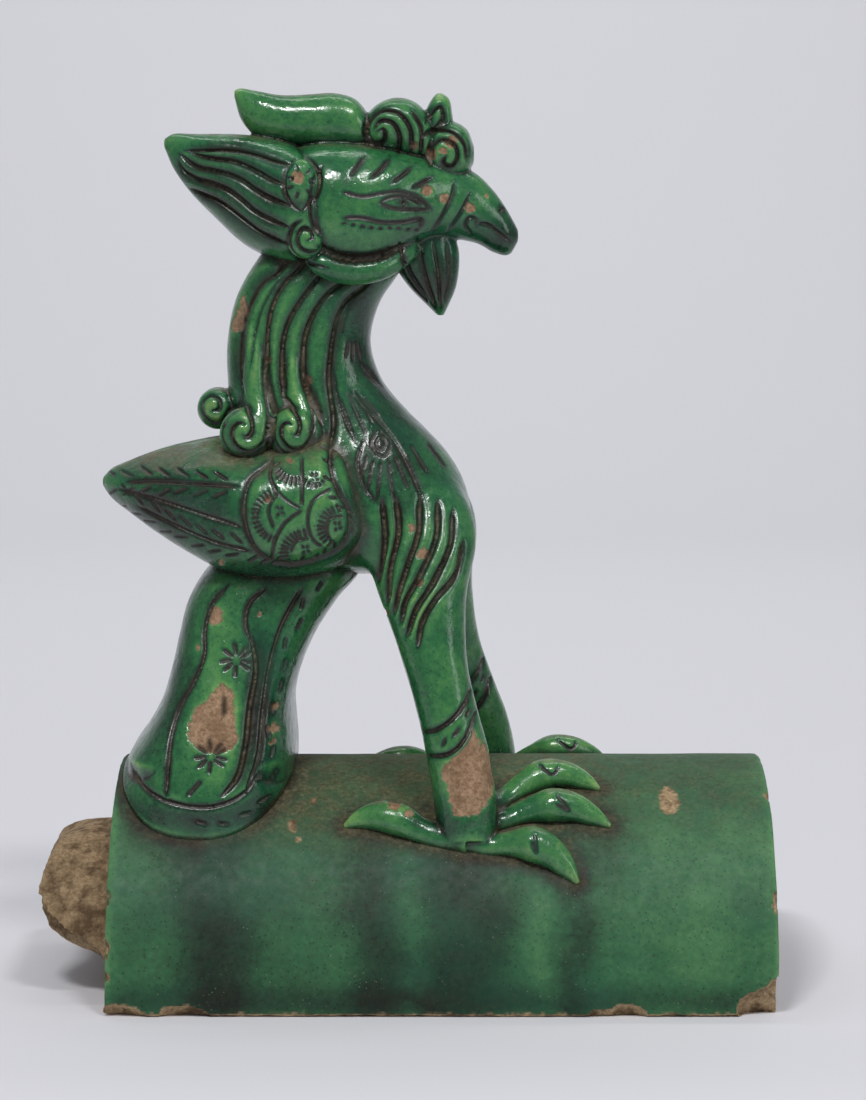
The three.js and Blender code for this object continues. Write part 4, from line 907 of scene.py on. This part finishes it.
scoop(headPiece, [head["cheekEdge"]], 2.4, 1.3)
engrave(headPiece, [head["underCheek"]], 3.2, 1.5, mark=1.0, taper=5)
scoop(headPiece, [head["jawCurlRim"], head["jawSpiral"]], 1.9, 1.1, taper=3)
scoop(headPiece, head["combLines"], 2.3, 1.5, taper=3)
scoop(headPiece, head["beardFlutes"], 2.2, 1.2, taper=5)
engrave(headPiece, head["earRims"], 1.5, 1.1)
engrave(headPiece, head["lids"], 1.45, 0.95)
scoop(headPiece, head["beakLines"], 1.6, 0.9)
engrave(headPiece, head["brows"], 1.9, 1.3, taper=2.4)
fine = marksAlong(head["dashes"], spacing=3.0, length=1.8, gap=-0.9, lean=8)
fine += marksAlong(head["fringe"], spacing=3.0, length=3.4, gap=-1.4, lean=-65)
x, z, radius, tall = head["earStar"]
fine += marksAlong(arcOf(x, z, radius, tall=tall), spacing=1.8, length=2.9, gap=0.3, lean=-90)
engrave(headPiece, fine, 1.0, 0.7, taper=0.8)
engrave(headPiece, [head["pupil"]], 2.7, 1.2, mark=2.2, taper=0.1)
engrave(headPiece, [head["nostril"], head["earHole"]], 1.8, 1.8, mark=1.6, taper=0.3)
weather(headPiece, drawn, chips=head["chips"], farChips=head["farChips"], uneven=0.25, ragged=1.1)
readHollows(headPiece)
print("head carved")

# Tail: a broad column that spreads over the left end of the tile
tail = {
    "voxel": 0.48, "soften": 5, "triangles": 130000, "soil": (0.8, 1.0, 0.7),
    "thickness": {  # over the tile, for each distance inside the foot's outline
        "inside": [-3, -0.6, 0.6, 2.4, 6, 12, 20, 30], "above": [-5, -2, 1.4, 2.6, 6, 12, 22, 60]},
    "sunk": 6.0, "unbound": 500.0,
    "column": [
        [88, -62, -20, 0, 20, 2.6], [78, -64, -16, 0, 24, 2.6], [69, -71.5, -15.5, 0, 28, 2.8],
        [60, -77, -23, 0, 30.5, 3], [47, -80.5, -31.5, 0, 34, 3.2], [34, -83.5, -37, 0, 38, 3.3],
        [23, -87, -39.5, 0, 42, 3.3], [13, -92.5, -39, 0, 46, 3.3], [4, -98.5, -38.5, 0, 49, 3.2],
        [-3, -101.5, -39, 0, 51, 3.1], [-11, -102, -41, 0, 53, 3], [-20, -102, -46, 0, 54, 3],
        [-28, -102, -50, 0, 54, 3]],
    "foot": [[-101, 40], [-101.2, 4], [-100.3, -2.7], [-94.4, -10.9], [-82.3, -16.4], [-68.9, -18.4], [-52.7, -15],
             [-42, -8.2], [-37.5, 2.7], [-36.5, 40]],
    "lines": [
        [[-61.5, 67], [-68, 59], [-70, 51], [-70, 42.5], [-73.5, 33.5], [-78.5, 24.5], [-81, 16], [-82, 4.5],
         [-82.6, -5.5]],
        [[-48.5, 65.5], [-54, 60.5], [-55.5, 54], [-54, 48]],
        [[-35.5, 65.5], [-42.5, 53], [-47, 37.5], [-49, 21.5], [-50.5, 7.5], [-54.4, -3.8]]],
    "hem": [[-97.5, 3.5], [-96.2, 1.6], [-89.5, -3.8], [-77.4, -8], [-63.8, -8], [-54.4, -3.8], [-50, 2]],
    "channel": [[-53.4, 49], [-51.5, 39], [-53.4, 25], [-54.9, 11], [-58, 0.5], [-63, -5]],
    "rosettes": [[-58.5, 41], [-67, 8.5]],
    "stems": [[[-62.5, 28.9], [-62.6, 22]], [[-70, 0.5], [-75, -5]]],
    "ticks": [[-31, 66], [-33.6, 58.5], [-38, 50], [-41.6, 40], [-44, 28], [-45.4, 16], [-46, 4], [-49, -5], [-56, -11],
              [-66, -13.4], [-78, -12]],
    "loss": [[-64.1, 33], [-60.8, 31.6], [-59.1, 22], [-58.2, 12.4], [-64.3, 9.4], [-71.1, 11], [-75.1, 15.1],
             [-73, 23.4], [-68.3, 27.5]],
    "topLoss": [[-68.4, 58.3], [-65, 59], [-64.3, 53.5], [-67.7, 52.8]],
    # the dark band along the hem and the dark left edge are painted shade; the dark channel is thicker glaze in the cut
    "poursAndShading": [[-82, 46, 8, 30, 1.4], [-63, 30, 8, 30, -1.1], [-50, 22, 4.5, 36, 2.0], [-72, -12, 30, 5, 1.7],
              [-93, 2, 7, 12, 0.6], [-40, 62, 8, 8, 0.4], [-42, 20, 5, 30, 0.3]],
    "chips": [[-45, 17, 1.6], [-45.6, 12.5, 1.2], [-44.8, 24.5, 1.2], [-72, 44.5, 0.8], [-50.4, 56.5, 0.7]],
    "farChips": [[-60, 30, 3.2], [-74, 12, 2.2], [-44, 6, 1.8]],
}
tailPiece = union("phoenix_tail", [upright(tail["column"], sides=128)], tail["voxel"], tail["soften"])
places = pointsOf(tailPiece)
drawn = np.stack([places[:, 0], places[:, 2] - crest], axis=1)
out = np.hypot(places[:, 1], places[:, 2] - tile["skirt"])
inside = insideOutline(drawn, tail["foot"])
edge = np.interp(inside, tail["thickness"]["inside"], tail["thickness"]["above"])
onFoot = ramp(9, 3, drawn[:, 1])
most = tile["radius"] + edge + tail["unbound"] * (1 - onFoot)
least = tile["radius"] - tail["sunk"]  # the foot of the tail ends inside the tile's wall
pull = np.clip(out, least, np.maximum(most, least)) / out
places[:, 1] *= pull
places[:, 2] = tile["skirt"] + (places[:, 2] - tile["skirt"]) * pull
movePoints(tailPiece, blurred(places, edgesOf(tailPiece), 6, 0.5))
drawn = prepare(tailPiece)
scoop(tailPiece, [tail["channel"]], 4.4, 2.1, taper=8, line=1.6)
scoop(tailPiece, tail["lines"] + [tail["hem"]], 2.2, 1.1)
fine = tail["stems"] + marksAlong(tail["ticks"], spacing=7.2, length=4.6, gap=-2.3, lean=4, uneven=0.25, seed=4)
for x, z in tail["rosettes"]:
    fine += marksAlong(arcOf(x, z, 0.9), spacing=0.64, length=4.7, gap=0.1, lean=-90, uneven=0.2)
engrave(tailPiece, fine, 1.45, 1.1, taper=0.9)
weather(tailPiece, drawn, patches=[tail["loss"], tail["topLoss"]], chips=tail["chips"], farChips=tail["farChips"])
readHollows(tailPiece)
print("tail carved")

# Tile: the half-round back, the shoulder inside its left end, and the tongue for the next tile
tongueReach = [[0, 0], [13.5, 0], [16, 6], [19, 17], [29, 27.5], [40, 30.2], [52, 29], [65, 25], [77, 17.5], [84, 11],
               [90, 8.5]]  # how far it stands out at each angle round the arc, in degrees and mm
tileEnd = tile["left"] + tile["length"]
bites = [  # [x, y, z, length, depth] of the places broken from its edges
    [tileEnd + 2, -77, 2, 15, 12], [tileEnd - 55, -77.5, -1.5, 10, 6.5], [tile["left"] + 5, -77, -2, 11, 6],
    [tile["left"] + 25, -77.5, -2, 13, 6], [tileEnd + 0.8, -67, 39, 2.6, 4.5], [tileEnd + 0.8, -34.5, 71, 2.4, 4],
    [tile["left"] - 0.8, -72, 24, 2.4, 4], [tile["left"] - 0.8, -65, 40, 2.2, 3.2],
    [tile["left"] - 0.8, -75, 14, 2.2, 3], [tile["left"] + 46, -77.5, -1, 3.5, 3.4], [tileEnd - 22, -77.5, -1, 4, 3.2],
    [tileEnd + 1, 70, 30, 3, 5], [tile["left"] + 60, 77.5, -1, 9, 5]]
brownSpot = [94.5, -9.5, 3.6]
tileChips = [[-38.5, -16.5, 1.7], [-31.5, -9.5, 1.1], [-36, -20.5, 0.9]]


def halfRoundForm(radius, wall, left, length):
    obj = newObject("halfRound", [(0, 0, 0)])
    useTree(obj, halfRound, {"Radius": radius, "Wall": wall, "Skirt": tile["skirt"], "Left": left, "Length": length})
    points = pointsOf(obj)
    faces = [list(face.vertices) for face in obj.data.polygons]
    bpy.data.objects.remove(obj)
    return points, faces


barrel = halfRoundForm(tile["radius"], tile["wall"], tile["left"], tile["length"])
shoulder = halfRoundForm(tile["radius"] - tile["wall"] + 1, tile["shoulderWall"], tile["left"] + 2,
                         tile["shoulder"] - 2)
tongue = halfRoundForm(tile["spigotRadius"], tile["wall"], tile["left"] - tile["spigotReach"],
                       tile["spigotReach"] + tile["shoulder"])
around = np.degrees(np.arctan2(np.maximum(tongue[0][:, 2] - tile["skirt"], 0), np.abs(tongue[0][:, 1])))
reach = np.interp(around, *np.array(tongueReach).T)
tongue[0][:, 0] = np.where(tongue[0][:, 0] < tile["left"], tile["left"] - reach, tongue[0][:, 0])
tilePiece = union("ridge_tile", [barrel, shoulder, tongue], tile["voxel"], tile["soften"])
places = pointsOf(tilePiece)
onTongue = ramp(tile["left"] - 1, tile["left"] - 5, places[:, 0])
places += onTongue[:, None] * (blurred(places, edgesOf(tilePiece), tile["tongueRounds"]) - places)
bitten = np.full(len(places), farOutside)
rough = np.random.default_rng(7)
for x, y, z, length, depth in bites:
    middle, size = np.array([x, y, z]), np.array([length, depth, depth])
    local = (places - middle) / size
    far = np.maximum(np.linalg.norm(local, axis=1), 1e-6)
    waves = rough.uniform(1.5, 4.5, (4, 3)), rough.uniform(0, 6.28, 4)
    lumpy = 1 + 0.13 * np.sin(local / far[:, None] @ waves[0].T + waves[1]).sum(1) / 2
    hit = far < lumpy
    bitten = np.maximum(bitten, (lumpy - far) * depth)
    places[hit] = (middle + local / far[:, None] * lumpy[:, None] * size)[hit]
places[:, 2] = np.maximum(places[:, 2], 0)
movePoints(tilePiece, places)
places = pointsOf(tilePiece)
radial = np.hypot(places[:, 1], places[:, 2] - tile["skirt"])
chipped = [np.where(places[:, 1] < 0, radius - np.hypot(places[:, 0] - x, places[:, 2] - crest - z), farOutside)
           for x, z, radius in tileChips + [brownSpot]]
keep(tilePiece, "inside", np.maximum.reduce([
    bitten, tile["bareWithin"] - radial, tile["left"] - 0.3 - places[:, 0], 1.2 - places[:, 2]] + chipped))
keep(tilePiece, "groove", np.zeros(len(places)))
useTree(tilePiece, wear, {"Uneven": 0.9, "UnevenSize": 30.0, "PatchDepth": 0.3, "Ragged": 1.2})
places = pointsOf(tilePiece)
places[:, 2] = np.maximum(places[:, 2], 0)
movePoints(tilePiece, places)
readHollows(tilePiece)
print("tile made")

# Glaze gathers where the pieces meet, and dirt settles on what faces up
neighbours = {
    bodyPiece: [headPiece, wingPiece, tailPiece, tilePiece], headPiece: [bodyPiece],
    wingPiece: [bodyPiece, tailPiece], tailPiece: [bodyPiece, wingPiece, tilePiece], tilePiece: [bodyPiece, tailPiece]}
creaseReach = {tilePiece: 7.0}
for piece, others in neighbours.items():
    for other in others:
        useTree(piece, creases, {"Neighbour": other, "Reach": creaseReach.get(piece, 3.6)})


# Soil lies where the skin faces up more than low to high, and by a share in hollows, lines and creases
def settleDirt(piece, low, high, hollowShare):
    normals = blurred(normalsOf(piece), edgesOf(piece), 6)
    up = ramp(low, high, normals[:, 2])
    caught = ramp(0.3, 1.5, recall(piece, "deepHollow")) * ramp(-0.4, 0.2, normals[:, 2])
    nearby = 0.4 * ramp(0.04, 0.4, recall(piece, "hollow"))
    lined = 0.2 * ramp(0.12, 0.6, recall(piece, "halo"))
    cornered = 0.6 * ramp(0.25, 0.9, recall(piece, "crease"))
    keep(piece, "dirt", np.clip(up + hollowShare * (caught + nearby + lined + cornered), 0, 1))


pieces = {bodyPiece: body, wingPiece: wings, headPiece: head, tailPiece: tail, tilePiece: tile}
for piece, sizes in pieces.items():
    settleDirt(piece, *sizes["soil"])
places = pointsOf(tilePiece)
busy = 0.35 + 0.65 * ramp(-70, -40, places[:, 0]) * ramp(84, 50, places[:, 0])  # most soil lies between the feet
film = 0.1 + recall(tilePiece, "dirt") * busy
tongueSoil = 0.75 * ramp(-102, -104, places[:, 0])  # the bare tongue is browner than the chips
keep(tilePiece, "dirt", np.clip(np.maximum(film, tongueSoil), 0, 1))

# Runs of thicker glaze down the tile: [place along the ridge, half width, strength]
runs = {"near": [[-66, 12, 1.0], [-9, 9, 0.9], [21, 14, 1.0], [59, 5, 0.8], [3, 4, -0.4], [49, 5, -0.6],
                 [100, 26, -0.5]],
        "far": [[-70, 9, 0.8], [-30, 12, 0.9], [12, 10, 0.8], [44, 6, 0.7], [90, 16, 0.5], [68, 8, -0.6],
                [-50, 6, -0.5]]}
run = 0.9 * ramp(15, 4, places[:, 2])  # the glaze colour is darker along the lower edge
for side, rows in runs.items():
    onSide = ramp(-6, 6, places[:, 1] if side == "far" else -places[:, 1]) * ramp(crest - 6, crest - 18, places[:, 2])
    for x, half, strength in rows:
        wander = 2.5 * np.sin(places[:, 2] / 11 + x) + 1.5 * np.sin(places[:, 2] / 5 + 2 * x)
        run += onSide * strength * np.exp(-(((places[:, 0] + wander - x) / half) ** 2) ** 1.6)
keep(tilePiece, "run", run)
for piece, sizes in pieces.items():
    # the pours darken or lighten the glaze colour: partly thicker or thinner glaze, partly painted shade and painted
    # light
    if "poursAndShading" in sizes:
        x, height = pointsOf(piece)[:, 0], pointsOf(piece)[:, 2] - crest
        keep(piece, "run", sum(strength * np.exp(-((x - atX) / wide) ** 2 - ((height - atZ) / high) ** 2)
                               for atX, atZ, wide, high, strength in sizes["poursAndShading"]))
    thin(piece, sizes["triangles"])
print("glaze laid")


# Materials

def linear(colour):  # sRGB hex to linear
    parts = [int(colour[i:i + 2], 16) / 255 for i in (1, 3, 5)]
    return tuple(c / 12.92 if c <= 0.04045 else ((c + 0.055) / 1.055) ** 2.4 for c in parts) + (1.0,)


def perMetre(millimetres):  # a noise scale that gives features of this size
    return 1000 / millimetres


def colourStops(made, stops):
    band = made.color_ramp
    while len(band.elements) < len(stops):
        band.elements.new(0.5)
    for element, (at, colour) in zip(band.elements, stops):
        element.position = at
        element.color = linear(colour)
    return made.outputs["Color"]


# Copper-green lead glaze over buff earthenware, brushed on and fired: glassy, thin and yellowish on
# ridges, nearly black where it pools, dull where soil has settled, with the sandy clay bare in chips
def leadGlazedEarthenware(name, look):
    material = bpy.data.materials.new(name)
    material.use_nodes = True
    tree = material.node_tree
    tree.nodes.clear()
    out = addNode(tree, "ShaderNodeOutputMaterial")
    place = addNode(tree, "ShaderNodeTexCoord").outputs["Object"]
    layer = {key: addNode(tree, "ShaderNodeAttribute", attribute_name=key, attribute_type="GEOMETRY").outputs["Fac"]
             for key in ("hollow", "deepHollow", "groove", "halo", "bare", "crease", "dirt", "run")}
    pattern = {key: addNode(tree, "ShaderNodeTexNoise", {
        "Vector": place, "Scale": perMetre(size), "Detail": detail, "Roughness": rough}).outputs["Fac"]
        for key, (size, detail, rough) in look["patterns"].items()}

    spots = {key: addNode(tree, "ShaderNodeTexVoronoi", {
        "Vector": place, "Scale": perMetre(size), "Randomness": 1.0}).outputs["Distance"]
        for key, size in look["spots"].items()}

    # how thick the glaze lies, 0 thin to 1 pooled, with dark pores; the halo adds painted shade, and the run adds
    # painted shade and painted light
    pores = addNode(tree, "ShaderNodeMapRange", {0: spots["pores"], 1: 0.26, 2: 0.1, 3: 0.0, 4: 1.0})
    pooled = addNode(tree, "ShaderNodeMath", {0: layer["crease"], 1: 1.7}, operation="POWER").outputs[0]
    thickAndShaded = look["body"] - 0.5 * (look["clouding"] + look["mottle"])
    # the halo darkens the colour beside the cut lines as painted shade, not as thicker glaze
    for value, share in ((layer["hollow"], look["hollow"]), (layer["deepHollow"], look["deepHollow"]),
                         (pattern["cloud"], look["clouding"]), (pattern["mottle"], look["mottle"]),
                         (layer["run"], look["run"]), (pooled, look["pool"]), (layer["groove"], look["groove"]),
                         (layer["halo"], look["halo"]), (pores.outputs[0], look["pores"])):
        thickAndShaded = addNode(tree, "ShaderNodeMath", {0: value, 1: share, 2: thickAndShaded}, operation="MULTIPLY_ADD").outputs[0]
    glaze = colourStops(addNode(tree, "ShaderNodeValToRGB", {0: thickAndShaded}), look["glaze"])
    coolShare = addNode(tree, "ShaderNodeMapRange", {0: pattern["cool"], 1: 0.48, 2: 0.7, 3: 0.0, 4: look["coolMost"]})
    glaze = addNode(tree, "ShaderNodeMix", {0: coolShare.outputs[0], 6: glaze, 7: linear(look["cool"])},
                    data_type="RGBA").outputs[2]

    # dull soil film, and pale specks in it
    soil = colourStops(addNode(tree, "ShaderNodeValToRGB", {0: pattern["dust"]}), look["soil"])
    lies = addNode(tree, "ShaderNodeMapRange", {
        0: pattern["grime"], 1: 0.36, 2: 0.62, 3: look["soilLeast"], 4: look["soilMost"]})
    soilShare = addNode(tree, "ShaderNodeMath", {0: layer["dirt"], 1: lies.outputs[0]}, operation="MULTIPLY").outputs[0]
    coloured = addNode(tree, "ShaderNodeMix", {0: soilShare, 6: glaze, 7: soil}, data_type="RGBA").outputs[2]
    dots = addNode(tree, "ShaderNodeMapRange", {0: spots["specks"], 1: 0.16, 2: 0.09, 3: 0.0, 4: 1.0})
    where = addNode(tree, "ShaderNodeMapRange", {0: pattern["swarm"], 1: 0.52, 2: 0.64, 3: 0.0, 4: look["fleck"]})
    fleck = addNode(tree, "ShaderNodeMath", {0: dots.outputs[0], 1: where.outputs[0]}, operation="MULTIPLY")
    coloured = addNode(tree, "ShaderNodeMix", {0: fleck.outputs[0], 6: coloured, 7: linear(look["speck"])},
                       data_type="RGBA").outputs[2]

    # sandy clay in chips and where no glaze was put
    sand = colourStops(addNode(tree, "ShaderNodeValToRGB", {0: pattern["sand"]}), look["clay"])
    stained = addNode(tree, "ShaderNodeMapRange", {0: pattern["stain"], 1: 0.47, 2: 0.64, 3: 0.0, 4: look["stainMost"]})
    sand = addNode(tree, "ShaderNodeMix", {0: stained.outputs[0], 6: sand, 7: linear(look["stain"])},
                   data_type="RGBA").outputs[2]
    for value, share, colour in ((layer["dirt"], 0.6, look["stain"]), (layer["groove"], 0.85, look["hole"])):
        covered = addNode(tree, "ShaderNodeMath", {0: value, 1: share}, operation="MULTIPLY", use_clamp=True)
        sand = addNode(tree, "ShaderNodeMix", {0: covered.outputs[0], 6: sand, 7: linear(colour)},
                       data_type="RGBA").outputs[2]
    coloured = addNode(tree, "ShaderNodeMix", {0: layer["bare"], 6: coloured, 7: sand}, data_type="RGBA").outputs[2]

    shine = addNode(tree, "ShaderNodeMapRange", {
        0: pattern["shine"], 1: 0.3, 2: 0.75, 3: look["glossy"], 4: look["dull"]}).outputs[0]
    dusty = addNode(tree, "ShaderNodeMath", {0: soilShare, 1: 0.45, 2: shine}, operation="MULTIPLY_ADD").outputs[0]
    dirtyLine = addNode(tree, "ShaderNodeMath", {0: layer["groove"], 1: 0.25, 2: dusty}, operation="MULTIPLY_ADD")
    roughness = addNode(tree, "ShaderNodeMix", {0: layer["bare"], 2: dirtyLine.outputs[0], 3: 0.92})

    # peel and pinholes of the glaze, grit of the clay
    pits = addNode(tree, "ShaderNodeMapRange", {0: spots["pinholes"], 1: 0.0, 2: 0.14, 3: 0.0, 4: 0.3})
    peel = pits.outputs[0]
    for value, share in ((pattern["peel"], 0.35), (pattern["swell"], 1.1)):
        peel = addNode(tree, "ShaderNodeMath", {0: value, 1: share, 2: peel}, operation="MULTIPLY_ADD").outputs[0]
    grit = addNode(tree, "ShaderNodeMath", {0: pattern["grit"], 1: 2.2}, operation="MULTIPLY")
    relief = addNode(tree, "ShaderNodeMix", {0: layer["bare"], 2: peel, 3: grit.outputs[0]})
    bump = addNode(tree, "ShaderNodeBump", {"Strength": look["bump"], "Distance": 0.0004, "Height": relief.outputs[0]})
    shader = addNode(tree, "ShaderNodeBsdfPrincipled", {
        "Base Color": coloured, "Roughness": roughness.outputs[0], "IOR": 1.55,
        "Specular IOR Level": look["specular"], "Metallic": 0.0,
        "Normal": bump.outputs[0]})
    tree.links.new(shader.outputs[0], out.inputs[0])
    return material


# body is how thick the glaze lies everywhere; hollow, deepHollow, run, pool, groove, halo and pores say
# how much each of these thickens it, but halo is painted shade beside the cut lines and run is partly painted shade and
# painted light; clouding and mottle vary it in large and small patches
glazeOnBird = {
    "patterns": {  # size in mm, detail, roughness
        "cloud": (11.0, 3.0, 0.55), "mottle": (1.9, 4.0, 0.62), "cool": (31.0, 2.0, 0.5), "grime": (5.5, 5.0, 0.65),
        "dust": (1.7, 4.0, 0.7), "swarm": (9.0, 2.0, 0.5), "sand": (1.3, 5.0, 0.72), "stain": (7.0, 3.0, 0.6),
        "shine": (3.6, 3.0, 0.5), "peel": (1.5, 2.0, 0.5), "swell": (5.5, 2.0, 0.5), "grit": (0.8, 5.0, 0.75)},
    "spots": {"pores": 1.9, "specks": 1.6, "pinholes": 2.4},  # mm apart
    "body": 0.44, "hollow": 0.95, "deepHollow": 0.14, "clouding": 0.5, "mottle": 0.42, "run": 0.2, "pool": 0.5,
    "groove": 0.6, "halo": 0.36, "pores": 0.16, "specular": 0.5, "hole": "#17130F",
    "glaze": [(0.0, "#7CA35E"), (0.2, "#4C864B"), (0.42, "#2B673D"), (0.62, "#1B452C"), (0.82, "#0E2419"),
              (1.0, "#17130D")],
    "cool": "#15563F", "coolMost": 0.4, "soil": [(0.3, "#41392A"), (0.5, "#5F573F"), (0.72, "#827B60")],
    "soilLeast": 0.2, "soilMost": 0.8, "speck": "#9BA086", "fleck": 0.3,
    "clay": [(0.3, "#6E5440"), (0.48, "#9F8062"), (0.7, "#C0A182")], "stain": "#70543A", "stainMost": 0.55,
    "glossy": 0.10, "dull": 0.30, "bump": 0.7}
glazeOnTile = dict(
    glazeOnBird, body=0.5, clouding=0.4, mottle=0.3, run=0.26, hollow=0.25, deepHollow=0.03, fleck=0.45, pool=0.75,
    patterns=dict(glazeOnBird["patterns"], cloud=(20.0, 3.0, 0.6)), soilLeast=0.3, soilMost=0.78,
    glaze=[(0.0, "#7C9F6C"), (0.2, "#528756"), (0.42, "#316642"), (0.62, "#1C432D"), (0.82, "#0D251A"),
           (1.0, "#0E0F0A")],
    clay=[(0.3, "#7D664A"), (0.48, "#B29875"), (0.7, "#D6BF99")], stain="#4F3C29", stainMost=0.85, glossy=0.46,
    dull=0.64, bump=0.3, specular=0.26)
birdGlaze = leadGlazedEarthenware("copper_green_lead_glaze", glazeOnBird)
tileGlaze = leadGlazedEarthenware("copper_green_lead_glaze_on_tile", glazeOnTile)
print("materials built")

for piece in pieces:
    movePoints(piece, pointsOf(piece) * metre)
    piece.data.materials.clear()
    piece.data.materials.append(tileGlaze if piece is tilePiece else birdGlaze)
    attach(piece, "root")
    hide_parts(node)
bpy.data.materials.remove(clayStandIn)


# Stage, light and camera

def sweep(name, front, back, height, bend, wide):
    rows = [(front, 0.0), (back - bend, 0.0)]
    rows += [(back - bend + bend * math.sin(a), bend - bend * math.cos(a)) for a in np.linspace(0.1, math.pi / 2, 14)]
    rows.append((back, height))
    points = [(side * wide / 2, y, z) for y, z in rows for side in (-1, 1)]
    faces = [(2 * i, 2 * i + 1, 2 * i + 3, 2 * i + 2) for i in range(len(rows) - 1)]
    obj = newObject(name, points, faces)
    obj.data.polygons.foreach_set("use_smooth", [True] * len(obj.data.polygons))
    return obj


paper = bpy.data.materials.new("pale_backdrop_paper")  # matt seamless paper
paper.use_nodes = True
paperShader = paper.node_tree.nodes["Principled BSDF"]
paperShader.inputs["Base Color"].default_value = linear("#DEDEE3")
paperShader.inputs["Roughness"].default_value = 0.85
floor = sweep("floor", -4.0, 2.4, 3.2, 0.9, 9.0)
floor.data.materials.append(paper)

world = bpy.data.worlds.new("softRoom")
bpy.context.scene.world = world
world.use_nodes = True
world.node_tree.nodes["Background"].inputs[0].default_value = linear("#D9DADF")
world.node_tree.nodes["Background"].inputs[1].default_value = 0.30


def softbox(name, place, target, wide, high, power):
    light = bpy.data.lights.new(name, "AREA")
    light.shape = "RECTANGLE"
    light.size, light.size_y, light.energy = wide, high, power
    obj = bpy.data.objects.new(name, light)
    bpy.context.scene.collection.objects.link(obj)
    obj.location = place
    direction = np.array(target, float) - np.array(place, float)
    yaw = math.atan2(direction[1], direction[0])
    pitch = math.atan2(direction[2], math.hypot(direction[0], direction[1]))
    obj.rotation_euler = (pitch + math.pi / 2, 0, yaw - math.pi / 2)


softbox("mainSoftbox", (-0.35, -0.95, 1.5), (0, 0, 0.15), 0.34, 0.22, 12)
softbox("frontSoftbox", (0.42, -0.8, 1.55), (0, 0, 0.1), 0.3, 0.2, 7)
softbox("sideSoftbox", (1.4, -0.8, 0.75), (0, 0, 0.15), 0.45, 0.8, 3)
softbox("backdropSoftbox", (0, 0.75, 1.9), (0, 2.4, 0.5), 2.4, 0.5, 24)
softbox("floorSoftbox", (0, -1.6, 1.8), (0, -0.6, 0), 2.0, 0.6, 1)

view = {"target": (10.95, 0.0, 154.0), "distance": 1150.0, "pitch": 6.3, "focalPixels": 3168.0, "wide": 866}
pitch = math.radians(view["pitch"])
cameraData = bpy.data.cameras.new("camera")
cameraData.sensor_fit = "HORIZONTAL"
cameraData.sensor_width = 36.0
cameraData.lens = view["focalPixels"] * 36.0 / view["wide"]
cameraData.clip_start = 0.05
camera = bpy.data.objects.new("camera", cameraData)
bpy.context.scene.collection.objects.link(camera)
camera.location = [metre * view["target"][0], -metre * view["distance"] * math.cos(pitch),
                   metre * (view["target"][2] + view["distance"] * math.sin(pitch))]
camera.rotation_euler = (math.pi / 2 - pitch, 0, 0)
bpy.context.scene.camera = camera
bpy.context.view_layer.update()
bpy.context.scene.view_settings.view_transform = "Standard"
print("stage set")
